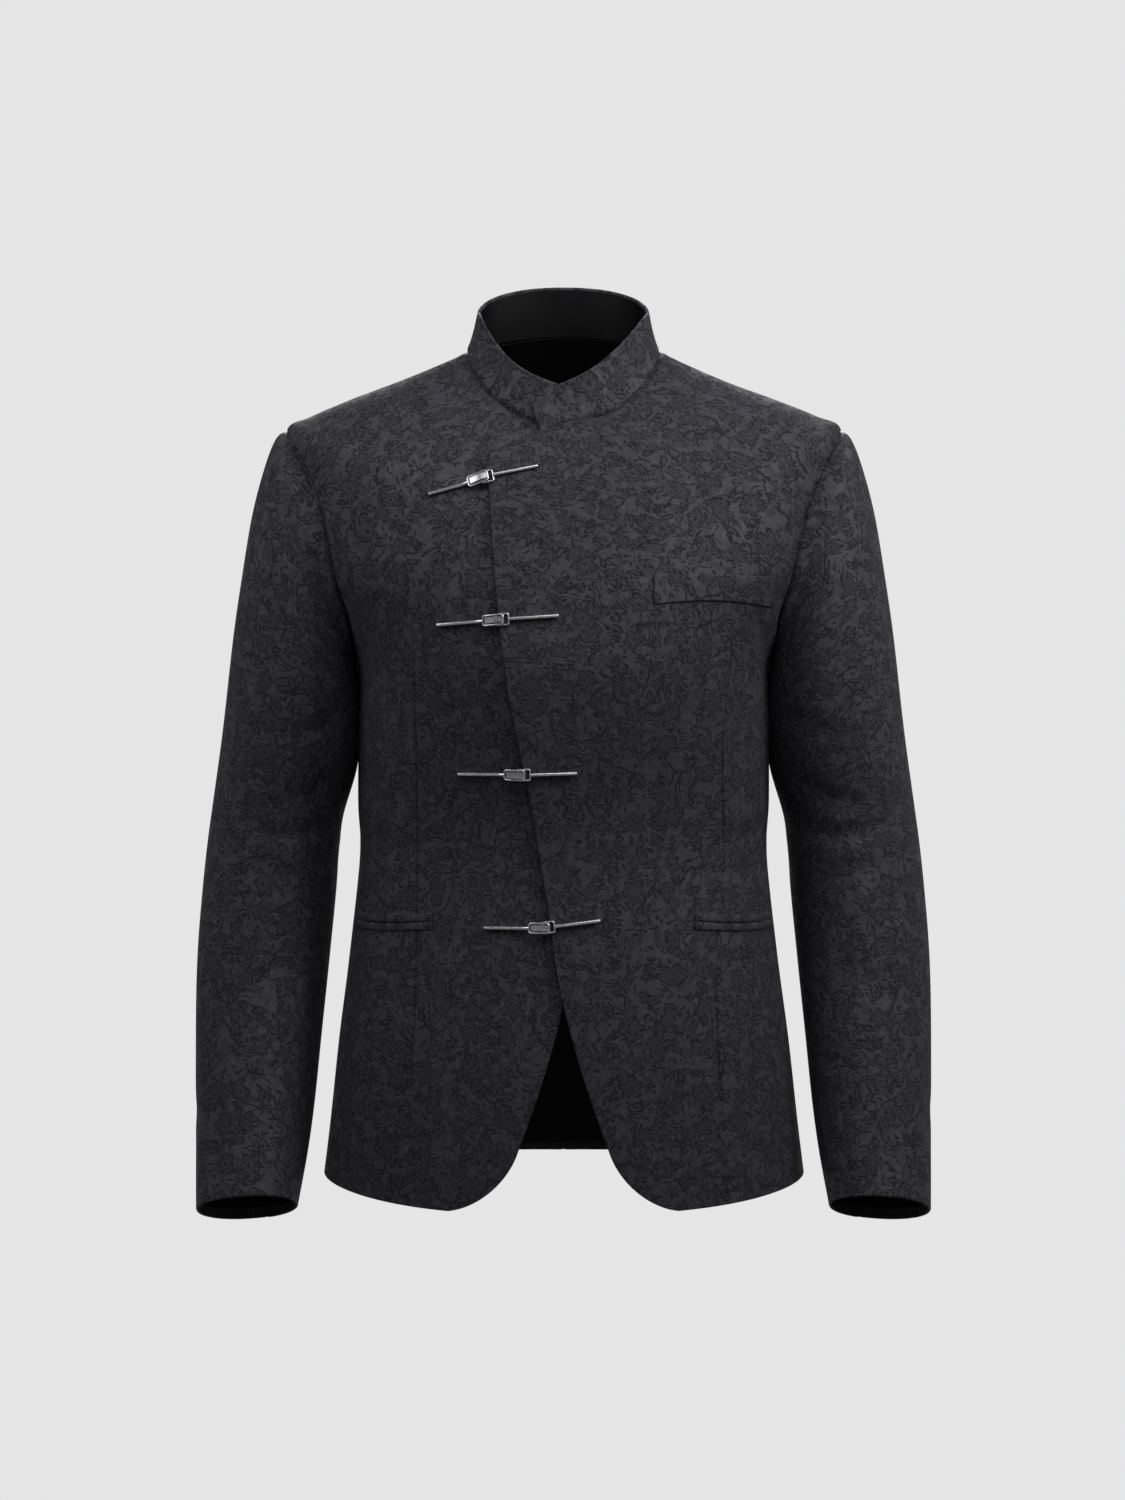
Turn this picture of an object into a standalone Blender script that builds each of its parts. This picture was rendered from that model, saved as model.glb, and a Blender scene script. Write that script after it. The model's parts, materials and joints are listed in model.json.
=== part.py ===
"""A men's mandarin collar blazer, size M, hollow and filled out as when worn, its fronts clasped.

Sizes are in millimetres and become metres where a mesh is made. +Z is up, the front faces -Y and the wearer's
left is +X. The origin lies in the middle of the neck opening, level with the two side neck points.

The body is a family of girth rings, one above the other from the hem to the neck seam. A place on it is (level,
turn): level counts the rows of GIRTHS, and turn is the angle round the ring, 0 at the left side, a quarter turn at
the centre front and minus a quarter turn at the centre back. Above the underarm the rings are cut by the armholes,
and above the shoulder point their sides lie on the shoulder seams.
"""

import math
from typing import NamedTuple

import bmesh
import bpy
import numpy as np

MM = 0.001
QUARTER = math.pi / 2

# Cloth
CLOTH = 2.0
COLLAR_CLOTH = 3.0
LINING_CLOTH = 1.0
LINING_INSIDE = 3.6
SEAM_HALF_GAP = 0.2
OVERLAP_LIFT = 3.4
OVERLAP_FULL = 13.0
OVERLAP_FADE = 36.0
OVERLAP_NECK_LIFT = 1.8
OVERLAP_NECK_FROM_Z = -125.0
OVERLAP_NECK_RISE = 45.0


class Girth(NamedTuple):
    """One ring round the body: half width, depths, squareness, heights at side, front and back, and the dip's power."""

    half_width: float
    depth_front: float
    depth_back: float
    square: float
    z_side: float
    z_front: float
    z_back: float
    dip: float


GIRTHS = [
    Girth(201.5, 131, 140, 2.5, -687, -708, -685, 2.0),
    Girth(196.5, 129, 139, 2.5, -645, -657, -643, 2.0),
    Girth(189.0, 125, 134, 2.5, -578, -584, -577, 2.0),
    Girth(179.7, 119, 124, 2.45, -511, -513, -510, 2.0),
    Girth(171.8, 113, 112, 2.4, -443, -443, -443, 2.0),
    Girth(170.0, 112, 108, 2.4, -410, -410, -410, 2.0),
    Girth(172.0, 114, 110, 2.4, -376, -376, -375, 2.0),
    Girth(174.5, 122, 118, 2.45, -310, -311, -308, 2.0),
    Girth(175.0, 126, 123, 2.5, -266, -270, -260, 2.0),
    Girth(185.0, 125, 125, 2.5, -226, -236, -215, 2.0),
    Girth(205.0, 122, 125, 2.45, -186, -206, -175, 2.0),
    Girth(217.0, 117, 122, 2.35, -146, -178, -147, 2.0),
    Girth(226.0, 111, 117, 2.2, -106, -152, -120, 2.0),
    Girth(232.5, 104, 109, 2.05, -66, -129, -94, 2.0),
    Girth(212.0, 97, 101, 2.0, -54, -113, -68, 2.0),
    Girth(177.0, 88, 91, 2.0, -39.5, -98, -42, 1.9),
    Girth(137.0, 79, 79, 2.03, -24.5, -84, -17, 1.7),
    Girth(102.0, 71, 66, 2.07, -9.5, -73, 7, 1.5),
    Girth(81.0, 66, 58, 2.1, 0, -67, 20, 1.4),
]
UNDERARM = 8
SHOULDER_POINT = 13
NECK = 18
ARMHOLE_REACH = 62.0
SIDE_SEAM_LEAN = 14.0

# Steps of level and turn over which a slope is measured, and the halvings of a search
SLOPE_STEP = 0.03
HALVINGS = 40

# Front edge of the front that lies on top, as seen from the front: z, x.
FRONT_EDGE = [
    (-708, 54.0),
    (-655, 35.7),
    (-600, 16.5),
    (-528, -2.8),
    (-450, -14.5),
    (-364, -29.0),
    (-284, -44.7),
    (-216, -53.2),
    (-150, -58.5),
    (-94, -61.0),
]
HEM_ROUND_HEIGHT = 47.0
HEM_ROUND_WIDTH = 41.0
FRONT_CORNER = (-61.0, -94.0)
HIDDEN_CORNER_RISE = 24.0
COLLAR_END_X = -19.5
COLLAR_UNDER_END_X = -4.0
NECK_DIP_FROM_X = 6.0
NECK_DIP = 0.38

# Collar band's top edge
COLLAR_TOP = Girth(72.3, 59.5, 54.5, 2.1, 33, -31, 61.5, 1.3)
COLLAR_LEAN_OVER = 0.45
COLLAR_LEAN_UNDER = 0.32
COLLAR_TOP_CURVE = 2.46
COLLAR_SLANT = math.radians(9)
COLLAR_SLANT_FROM = math.radians(50)
COLLAR_HOLLOW = 0.8
COLLAR_LIFT = 4.4
COLLAR_FULL_X = 12.0
COLLAR_FADE = 36.0
COLLAR_END_FORWARD = 0.12


class Section(NamedTuple):
    """One section of the left sleeve: outer and inner point, half depth, middle y, and forward pitch in degrees."""

    x_out: float
    z_out: float
    x_in: float
    z_in: float
    depth: float
    y_mid: float
    pitch: float


SLEEVE = [
    Section(241.5, -73.0, 176.4, -268.0, 62.5, 0, 0),
    Section(251.0, -98.0, 177.6, -274.0, 63.5, 0, 0),
    Section(262.0, -142.0, 178.2, -284.0, 65.0, 0, 0),
    Section(272.0, -206.0, 178.4, -300.0, 66.0, 1, 0),
    Section(282.0, -280.0, 178.2, -322.0, 66.0, 4, 0),
    Section(290.0, -341.0, 178.5, -350.0, 64.0, 7, 1),
    Section(295.5, -384.0, 184.5, -387.0, 61.5, 9, 3),
    Section(299.0, -412.0, 188.6, -412.0, 60.0, 8, 5),
    Section(303.0, -452.0, 191.0, -450.0, 58.0, 4, 9),
    Section(306.0, -498.0, 195.0, -495.0, 56.0, -3, 12),
    Section(307.0, -553.0, 199.5, -548.0, 53.5, -14, 15),
    Section(306.2, -611.0, 205.0, -605.5, 50.5, -29, 17),
    Section(303.3, -667.0, 211.6, -661.5, 47.5, -46, 18),
    Section(301.6, -713.5, 218.6, -708.0, 45.5, -61, 19),
]
SLEEVE_SQUARE = 2.15
SLEEVE_TURNS = 20
SLEEVE_FRONT_SEAM = 7
SLEEVE_BACK_SEAM = 14
SLEEVE_OFF_SEAM = 0.45

# Rows and columns of the panels
BODY_LEVELS = [0.0, 0.1, 0.24, 0.42, 0.68, 1.0, 1.5, 2.0, 2.5, 3.0, 3.5, 4.0, 5.0, 6.0, 7.0]
ARMHOLE_STEPS = SLEEVE_TURNS // 2
SHOULDER_STEPS = 5
FRONT_COLUMNS = 14
COLLAR_COLUMNS = 10
BACK_COLUMNS = 9
COLLAR_ROWS = 3
SLEEVE_ROWS_PER_SECTION = [2, 1, 1, 2, 1, 2, 1, 1, 1, 1, 2, 2, 2, 2]

# Lining of the back
LINING_ABOVE_HEM = 0.36
LINING_INSET = 9.0
LINING_BELOW_NECK = 1.5

# Pockets, in front view millimetres on the left front
WELT_INNER_X = 72.4
WELT_OUTER_X = 172.0
WELT_TOP_Z = -192.5
WELT_BOTTOM_Z = -217.0
WELT_ARCH = 4.0
JET_INNER_X = 106.4
JET_OUTER_TURN = math.radians(8)
JET_TOP_Z = -466.5
JET_WIDTH = 6.3
JET_GAP = 0.6
JET_DROOP = 2.5
TRIM_OFF = 0.6
TRIM_CLOTH = 1.3
TRIM_COLUMNS = 10


class Clasp(NamedTuple):
    """One clasp in front view: the hook's rod end, the middle of the buckle, and the loop's rod end."""

    hook_x: float
    hook_z: float
    mid_x: float
    mid_z: float
    loop_x: float
    loop_z: float


CLASPS = [
    Clasp(-109.4, -126.7, -67.0, -115.3, -20.7, -106.3),
    Clasp(-102.2, -233.0, -54.0, -229.6, -3.6, -226.5),
    Clasp(-85.2, -353.4, -36.8, -353.6, 10.9, -352.2),
    Clasp(-64.2, -477.8, -17.4, -478.2, 29.5, -472.2),
]
ROD_RADIUS = 1.25
WIRE_RADIUS = 0.7
METAL_OFF = 0.35
HOOK_FRAME_FROM = -10.6
HOOK_FRAME_TO = 6.0
HOOK_FRAME_HALF = 3.1
HOOK_CORNER = 2.6
HOOK_CHAMFER = 0.7
HOOK_CHAMFER_HALF = 1.86
HOOK_RAMP_FROM = -9.0
HOOK_RAMP_MIDDLE = -5.0
HOOK_RAMP_TO = -2.0
ROD_STEPS = 4
FUSE_REACH = 0.2
PLATE_FROM = -7.6
PLATE_HALF = 2.7
PLATE_HALF_THICK = 0.45
PLATE_SHORT = 0.1
TONGUE_HALF = 1.9
TONGUE_DEPTH = 2.0
TONGUE_LENGTH = 1.1
LOOP_FROM = 0.4
LOOP_TO = 10.2
LOOP_HALF = 4.8
LOOP_CORNER = 0.9

# Colours
JACQUARD = (0.035, 0.034, 0.042, 1.0)
LINING = (0.008, 0.008, 0.010, 1.0)
SILVER = (0.62, 0.62, 0.64, 1.0)


def between(rows, at):
    """A smooth value between the rows of a table, which stand at 0, 1, 2 and so on."""
    i = min(max(int(math.floor(at)), 0), len(rows) - 2)
    f = at - i
    here = np.array(rows[i], float)
    there = np.array(rows[i + 1], float)
    before = np.array(rows[i - 1], float) if i > 0 else 2 * here - there
    after = np.array(rows[i + 2], float) if i + 2 < len(rows) else 2 * there - here
    bend = 2 * before - 5 * here + 4 * there - after
    twist = 3 * here - before - 3 * there + after
    return 0.5 * (2 * here + (there - before) * f + bend * f**2 + twist * f**3)


def smooth_table(table, at):
    """A smooth value from a table of (position, value) rows in rising order."""
    places = np.array([row[0] for row in table], float)
    values = np.array([row[1] for row in table], float)
    slopes = np.gradient(values, places)
    i = int(np.clip(np.searchsorted(places, at) - 1, 0, len(places) - 2))
    width = places[i + 1] - places[i]
    f = min(max((at - places[i]) / width, 0.0), 1.0)
    return float(
        values[i] * (1 + 2 * f) * (1 - f) ** 2
        + values[i + 1] * f**2 * (3 - 2 * f)
        + width * (slopes[i] * f * (1 - f) ** 2 - slopes[i + 1] * f**2 * (1 - f))
    )


def ease(f):
    """0 below 0, 1 above 1, and smooth between."""
    f = min(max(f, 0.0), 1.0)
    return f * f * (3 - 2 * f)


def unit(v):
    """The vector at length 1."""
    return v / max(np.linalg.norm(v), 1e-9)


def on_ring(girth, turn):
    """The point of a girth ring at an angle round it."""
    c = math.cos(turn)
    s = math.sin(turn)
    power = 2 / girth.square
    across = abs(s) ** power
    x = girth.half_width * math.copysign(abs(c) ** power, c)
    depth = girth.depth_front if s >= 0 else girth.depth_back
    z_mid = girth.z_front if s >= 0 else girth.z_back
    return np.array([x, -math.copysign(depth * across, s), girth.z_side + (z_mid - girth.z_side) * across**girth.dip])


def girth_at(level):
    """The girth ring at a level between the table's rows."""
    return Girth(*between(GIRTHS, level))


def body(level, turn):
    """A point of the body's outer surface."""
    return on_ring(girth_at(level), turn)


def body_normal(level, turn):
    """The direction straight out of the body's surface."""
    low = max(level - SLOPE_STEP, 0.0)
    high = min(level + SLOPE_STEP, NECK)
    up = body(high, turn) - body(low, turn)
    round_it = body(level, turn + SLOPE_STEP) - body(level, turn - SLOPE_STEP)
    out = np.cross(up, round_it)
    return unit(out if out @ np.array([math.cos(turn), -math.sin(turn), 0.3]) > 0 else -out)


def turn_at_x(level, x):
    """The turn on the front half of a ring where it has this x."""
    girth = girth_at(level)
    share = min(abs(x) / girth.half_width, 1.0) ** (girth.square / 2)
    return math.acos(math.copysign(share, x))


def turn_at_y(level, y):
    """The turn near the left side of a ring where it has this y."""
    girth = girth_at(level)
    depth = girth.depth_front if y < 0 else girth.depth_back
    return -math.copysign(math.asin((abs(y) / depth) ** (girth.square / 2)), y)


def place_at(x, z):
    """The (level, turn) of the front where it shows x and z in front view."""
    low = 0.0
    high = float(NECK)
    for _ in range(HALVINGS):
        level = (low + high) / 2
        if body(level, turn_at_x(level, x))[2] < z:
            low = level
        else:
            high = level
    return level, turn_at_x(level, x)


def front_edge_x(z):
    """Where the edge of the left front lies at a height, with the rounded corner at the hem."""
    low = FRONT_EDGE[0][0]
    up = min(max((z - low) / HEM_ROUND_HEIGHT, 0.0), 1.0)
    rounding = HEM_ROUND_WIDTH * (1 - math.sqrt(1 - (1 - up) ** 2))
    return smooth_table(FRONT_EDGE, z) + rounding


def hidden_edge_x(z):
    """Where the edge of the right front lies under the left one, at a height."""
    corner_x, corner_z = FRONT_CORNER
    if z <= corner_z:
        return -front_edge_x(z)
    top_x = COLLAR_FULL_X - OVERLAP_FULL
    return -corner_x + (top_x + corner_x) * ease((z - corner_z) / HIDDEN_CORNER_RISE)


def overlap(x, z):
    """How far the left front is lifted to lie on the right one."""
    lift = OVERLAP_LIFT + OVERLAP_NECK_LIFT * ease((z - OVERLAP_NECK_FROM_Z) / OVERLAP_NECK_RISE)
    return lift * ease((hidden_edge_x(z) + OVERLAP_FULL + OVERLAP_FADE - x) / OVERLAP_FADE)


def neck_dip(x):
    """How far the end that laps over runs below the neck ring."""
    return NECK_DIP * max(NECK_DIP_FROM_X - x, 0.0)


def armhole(step):
    """The left armhole at one of SLEEVE_TURNS steps, from the shoulder point round by the front: point, normal, off."""
    angle = 2 * math.pi * step / SLEEVE_TURNS

    def point(at):
        level = SHOULDER_POINT - (SHOULDER_POINT - UNDERARM) * (1 - math.cos(at)) / 2
        return body(level, turn_at_y(level, -ARMHOLE_REACH * math.sin(at))), level

    here, level = point(angle)
    normal = body_normal(level, turn_at_y(level, here[1]))
    along = point(angle + SLOPE_STEP)[0] - point(angle - SLOPE_STEP)[0]
    return here, normal, unit(np.cross(normal, along))


def outer_turn(level, side):
    """The turn of the side seam, the armhole or the shoulder seam on a level; side is 1 on a front, -1 on a back."""
    if level >= SHOULDER_POINT:
        return 0.0
    if level <= UNDERARM:
        return turn_at_y(level, SIDE_SEAM_LEAN * (1 - level / UNDERARM))
    down = (SHOULDER_POINT - level) / (SHOULDER_POINT - UNDERARM)
    reach = ARMHOLE_REACH * math.sqrt(max(1 - (1 - 2 * down) ** 2, 0.0))
    return turn_at_y(level, -side * reach)


def armhole_levels():
    """The levels of the panels' rows beside the armhole, from the underarm to the shoulder point."""
    steps = range(ARMHOLE_STEPS, -1, -1)
    drop = SHOULDER_POINT - UNDERARM
    return [SHOULDER_POINT - drop * (1 - math.cos(math.pi * k / ARMHOLE_STEPS)) / 2 for k in steps]


def edge_turn(level):
    """The turn of the left front's edge on a level."""
    z = girth_at(level).z_front
    for _ in range(4):
        z = body(level, turn_at_x(level, front_edge_x(z)))[2]
    return turn_at_x(level, front_edge_x(z))


def collar_end_turn(over):
    """Where the collar ends on the neck ring, on the half that laps over or the one under it."""
    return turn_at_x(NECK, COLLAR_END_X if over else COLLAR_UNDER_END_X)


def front_top(column, over):
    """The (level, turn) of a front's top: the neck seam, then the short edge to the corner."""
    end_turn = collar_end_turn(over)
    seam = body(NECK, end_turn * min(column / COLLAR_COLUMNS, 1.0))
    seam_z = seam[2] - (neck_dip(seam[0]) if over else 0.0)
    if column > COLLAR_COLUMNS:
        f = (column - COLLAR_COLUMNS) / (FRONT_COLUMNS - COLLAR_COLUMNS)
        corner_x, corner_z = FRONT_CORNER
        return place_at(seam[0] + (corner_x - seam[0]) * f, seam_z + (corner_z - seam_z) * f)
    if seam_z < seam[2]:
        return place_at(seam[0], seam_z)
    return float(NECK), end_turn * column / COLLAR_COLUMNS


def front_places(over):
    """A front's grid of (level, turn): rows from the hem up, columns from the side to the front edge."""
    grid = []
    for level in BODY_LEVELS + armhole_levels():
        start = outer_turn(level, 1)
        end = edge_turn(level)
        grid.append([(level, start + (end - start) * c / FRONT_COLUMNS) for c in range(FRONT_COLUMNS + 1)])
    base = grid[-1]
    for row in range(1, SHOULDER_STEPS + 1):
        f = row / SHOULDER_STEPS
        tops = [front_top(c, over) for c in range(FRONT_COLUMNS + 1)]
        grid.append([(b[0] + (t[0] - b[0]) * f, b[1] + (t[1] - b[1]) * f) for b, t in zip(base, tops)])
    return grid


def back_places():
    """The left back's grid of (level, turn): rows from the hem up, columns from the side to the centre back."""
    levels = BODY_LEVELS + armhole_levels()
    levels += [SHOULDER_POINT + (NECK - SHOULDER_POINT) * r / SHOULDER_STEPS for r in range(1, SHOULDER_STEPS + 1)]
    grid = []
    for level in levels:
        start = outer_turn(level, -1)
        grid.append([(level, start + (-QUARTER - start) * c / BACK_COLUMNS) for c in range(BACK_COLUMNS + 1)])
    return grid


def surfaces(places, cloth, inside=0.0, lifted=False):
    """The outer and inner points of a wall on the body, for a grid of places."""
    outer = np.zeros((len(places), len(places[0]), 3))
    inner = outer.copy()
    for r, row in enumerate(places):
        for c, (level, turn) in enumerate(row):
            point = body(level, turn)
            normal = body_normal(level, turn)
            lift = overlap(point[0], point[2]) if lifted else 0.0
            outer[r, c] = point + normal * (lift - inside)
            inner[r, c] = point + normal * (lift - inside - cloth)
    return outer, inner


def drawn_in(outer, inner, rows=(), columns=(), gap=SEAM_HALF_GAP):
    """Moves the named edge rows and columns of a wall a little inwards, to leave the gap of a seam."""
    moved = np.zeros_like(outer)
    for r in rows:
        next_row = r + 1 if r == 0 else r - 1
        for c in range(outer.shape[1]):
            moved[r, c] += gap * unit(outer[next_row, c] - outer[r, c])
    for c in columns:
        next_column = c + 1 if c == 0 else c - 1
        for r in range(outer.shape[0]):
            moved[r, c] += gap * unit(outer[r, next_column] - outer[r, c])
    return outer + moved, inner + moved


def off_armhole(outer, inner, side):
    """Moves a panel's armhole edge away from the sleeve."""
    for k in range(ARMHOLE_STEPS + 1):
        step = ARMHOLE_STEPS - k if side > 0 else ARMHOLE_STEPS + k
        off = armhole(step)[2]
        outer[len(BODY_LEVELS) + k, 0] -= SEAM_HALF_GAP * off
        inner[len(BODY_LEVELS) + k, 0] -= SEAM_HALF_GAP * off
    return outer, inner


def mirrored(outer, inner):
    """The same wall on the other side of the body."""
    across = np.array([-1.0, 1.0, 1.0])
    return outer * across, inner * across


def material(name, colour, roughness, metallic=0.0):
    """A plain Principled material."""
    made = bpy.data.materials.new(name)
    made.use_nodes = True
    shader = made.node_tree.nodes["Principled BSDF"]
    shader.inputs["Base Color"].default_value = colour
    shader.inputs["Roughness"].default_value = roughness
    shader.inputs["Metallic"].default_value = metallic
    made.diffuse_color = colour
    return made


def wall(name, outer, inner, cloth_material, collection):
    """A closed solid between an outer and an inner grid of points, joined round its rim."""
    rows, columns = outer.shape[:2]
    bm = bmesh.new()
    skins = [[[bm.verts.new(p * MM) for p in row] for row in skin] for skin in (outer, inner)]
    for skin in skins:
        for r in range(rows - 1):
            for c in range(columns - 1):
                bm.faces.new((skin[r][c], skin[r][c + 1], skin[r + 1][c + 1], skin[r + 1][c]))
    rim = [(0, c) for c in range(columns)]
    rim += [(r, columns - 1) for r in range(1, rows)]
    rim += [(rows - 1, c) for c in range(columns - 2, -1, -1)]
    rim += [(r, 0) for r in range(rows - 2, 0, -1)]
    for (r0, c0), (r1, c1) in zip(rim, rim[1:] + rim[:1]):
        bm.faces.new((skins[0][r0][c0], skins[0][r1][c1], skins[1][r1][c1], skins[1][r0][c0]))
    bmesh.ops.recalc_face_normals(bm, faces=bm.faces)
    return finished(name, bm, cloth_material, collection)


def finished(name, bm, its_material, collection):
    """Turns a bmesh into a named object in the collection."""
    mesh = bpy.data.meshes.new(name)
    bm.to_mesh(mesh)
    bm.free()
    mesh.materials.append(its_material)
    mesh.shade_smooth()
    mesh.set_sharp_from_angle(angle=math.radians(40))
    made = bpy.data.objects.new(name, mesh)
    collection.objects.link(made)
    return made


def add_fronts(cloth, collection):
    """The two fronts: the right one lies under the left one, and its hidden edge mirrors the one that shows."""
    for name, lifted in (("front_left", True), ("front_right", False)):
        places = front_places(lifted)
        outer, inner = surfaces(places, CLOTH, lifted=lifted)
        outer, inner = drawn_in(outer, inner, rows=(len(places) - 1,), columns=(0,))
        outer, inner = off_armhole(outer, inner, 1)
        if not lifted:
            outer, inner = mirrored(outer, inner)
        wall(name, outer, inner, cloth, collection)


def add_backs(cloth, collection):
    """The two backs, sewn together at the centre back."""
    places = back_places()
    outer, inner = surfaces(places, CLOTH)
    outer, inner = drawn_in(outer, inner, rows=(len(places) - 1,), columns=(0, BACK_COLUMNS))
    outer, inner = off_armhole(outer, inner, -1)
    wall("back_left", outer, inner, cloth, collection)
    wall("back_right", *mirrored(outer, inner), cloth, collection)


def add_lining(lining, collection):
    """The lining of the back, which shows at the neck and at the open hem, from side seam to side seam."""
    half = []
    for row in back_places():
        level = max(row[0][0], LINING_ABOVE_HEM)
        girth = girth_at(level)
        inset = LINING_INSET / (girth.half_width + girth.depth_back) * 2
        start = min(outer_turn(level, -1), 0.0) - inset
        columns = range(BACK_COLUMNS + 1)
        half.append([(level, start + (-QUARTER - start) * c / BACK_COLUMNS) for c in columns])
    first = next(r for r, row in enumerate(half) if row[0][0] > LINING_ABOVE_HEM) - 1
    half = half[first:]
    outer, inner = surfaces(half, LINING_CLOTH, inside=LINING_INSIDE)
    outer, inner = drawn_in(outer, inner, rows=(len(half) - 1,), gap=LINING_BELOW_NECK)
    other_outer, other_inner = mirrored(outer, inner)
    outer = np.concatenate([outer, other_outer[:, -2::-1]], axis=1)
    inner = np.concatenate([inner, other_inner[:, -2::-1]], axis=1)
    wall("lining_back", outer, inner, lining, collection)


def collar_side(over):
    """The neck seam's places and turns on one half, from the end at the centre front to the centre back."""
    front = [front_top(c, over) for c in range(COLLAR_COLUMNS, -1, -1)]
    back = [(float(NECK), -QUARTER * c / BACK_COLUMNS) for c in range(1, BACK_COLUMNS + 1)]
    turns = [collar_end_turn(over) * c / COLLAR_COLUMNS for c in range(COLLAR_COLUMNS, -1, -1)]
    turns += [-QUARTER * c / BACK_COLUMNS for c in range(1, BACK_COLUMNS + 1)]
    return front + back, turns


def collar_top_z(x, over):
    """Height of the collar's top edge at x on the front: a lean through the centre front and a curve up to the side."""
    lean = COLLAR_LEAN_OVER if over else COLLAR_LEAN_UNDER
    rise = COLLAR_TOP.z_side - COLLAR_TOP.z_front - lean * COLLAR_TOP.half_width
    return COLLAR_TOP.z_front + lean * x + rise * (max(x, 0.0) / COLLAR_TOP.half_width) ** COLLAR_TOP_CURVE


def collar_half(over):
    """Half of the collar band, rows from the neck seam up and columns from its end to the centre back."""
    seam, turns = collar_side(over)
    outer = np.zeros((COLLAR_ROWS + 1, len(seam), 3))
    for c, ((level, turn), flat_turn) in enumerate(zip(seam, turns)):
        low = body(level, turn)
        outward = unit(np.array([low[0], low[1], 0.0]))
        towards_end = (flat_turn - COLLAR_SLANT_FROM) / (turns[0] - COLLAR_SLANT_FROM)
        slant = COLLAR_SLANT * ease(towards_end) if over else 0.0
        high = on_ring(COLLAR_TOP, flat_turn + slant)
        if flat_turn > 0:
            high[2] = collar_top_z(high[0], over)
        if over and flat_turn > 0:
            high[1] += COLLAR_END_FORWARD * min(high[0], 0.0)
            high += COLLAR_LIFT * ease((COLLAR_FULL_X + COLLAR_FADE - high[0]) / COLLAR_FADE) * outward
            low += body_normal(level, turn) * overlap(low[0], low[2])
        for r in range(COLLAR_ROWS + 1):
            f = r / COLLAR_ROWS
            outer[r, c] = low + (high - low) * f - COLLAR_HOLLOW * math.sin(math.pi * f) * outward
    return outer


def grid_normals(outer, middle):
    """Unit normals of a grid of points, pointing away from a middle point."""
    down = np.gradient(outer, axis=0)
    along = np.gradient(outer, axis=1)
    normals = np.cross(down, along)
    normals /= np.linalg.norm(normals, axis=2, keepdims=True)
    if (normals * (outer - middle)).sum() < 0:
        normals = -normals
    return normals


def add_collar(cloth, collection):
    """The standing collar band, whose left end laps over its right end."""
    left = collar_half(True)
    right = collar_half(False) * np.array([-1.0, 1.0, 1.0])
    outer = np.concatenate([left, right[:, -2::-1]], axis=1)
    inner = outer - COLLAR_CLOTH * grid_normals(outer, np.zeros(3))
    outer, inner = drawn_in(outer, inner, rows=(0,))
    wall("collar_band", outer, inner, cloth, collection)


def section_point(section, step):
    """A point of a sleeve section at one of SLEEVE_TURNS steps, from its outer side round by the front."""
    angle = 2 * math.pi * step / SLEEVE_TURNS
    c = math.cos(angle)
    s = math.sin(angle)
    power = 2 / SLEEVE_SQUARE
    across = math.copysign(abs(c) ** power, c)
    forward = math.copysign(abs(s) ** power, s) * section.depth
    pitch = math.radians(section.pitch)
    x = (section.x_out + section.x_in) / 2 + across * (section.x_out - section.x_in) / 2
    z = (section.z_out + section.z_in) / 2 + across * (section.z_out - section.z_in) / 2
    return np.array([x, section.y_mid - forward * math.cos(pitch), z + forward * math.sin(pitch)])


def sleeve_grid():
    """The left sleeve's outer and inner points, rows from the armhole to the cuff, columns all round."""
    steps = range(SLEEVE_TURNS + 1)
    seams = [armhole(k) for k in steps]
    towards_top = [min(max(0.5 + 0.8 * math.cos(2 * math.pi * k / SLEEVE_TURNS), 0.0), 1.0) for k in steps]
    start = [
        point + SEAM_HALF_GAP * w * off + SLEEVE_OFF_SEAM * (1 - w) * normal
        for (point, normal, off), w in zip(seams, towards_top)
    ]
    lines = [[start[k]] + [section_point(section, k) for section in SLEEVE] for k in steps]
    heights = [0.0]
    for i, count in enumerate(SLEEVE_ROWS_PER_SECTION):
        heights += [i + (j + 1) / count for j in range(count)]
    outer = np.array([[between(lines[k], h) for k in steps] for h in heights])
    wrapped = np.concatenate([outer[:, -2:-1], outer, outer[:, 1:2]], axis=1)
    middles = outer[:, :-1].mean(axis=1, keepdims=True)
    normals = grid_normals(wrapped, np.repeat(middles, wrapped.shape[1], axis=1))[:, 1:-1]
    for k in steps:
        normals[0, k] = unit(normals[0, k] * (1 - towards_top[k]) + seams[k][1] * towards_top[k])
    return outer, outer - CLOTH * normals


def add_sleeves(cloth, collection):
    """Two-piece sleeves: an upper and an under sleeve, sewn at the front and at the back of the arm."""
    outer, inner = sleeve_grid()
    under = list(range(SLEEVE_FRONT_SEAM, SLEEVE_BACK_SEAM + 1))
    upper = list(range(SLEEVE_BACK_SEAM, SLEEVE_TURNS)) + list(range(0, SLEEVE_FRONT_SEAM + 1))
    for part, columns in (("upper", upper), ("under", under)):
        one = drawn_in(outer[:, columns], inner[:, columns], columns=(0, len(columns) - 1))
        wall(f"sleeve_left_{part}", *one, cloth, collection)
        wall(f"sleeve_right_{part}", *mirrored(*one), cloth, collection)


def strip_on_front(corners, lifted):
    """The outer and inner points of a strip laid on the left front, from rows of (level, turn)."""
    outer, _ = surfaces(corners, 0.0, inside=-(TRIM_OFF + TRIM_CLOTH), lifted=lifted)
    inner, _ = surfaces(corners, 0.0, inside=-TRIM_OFF, lifted=lifted)
    return outer, inner


def spread(start, end, count):
    """Values from start to end in a number of equal steps."""
    return [start + (end - start) * i / count for i in range(count + 1)]


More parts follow.
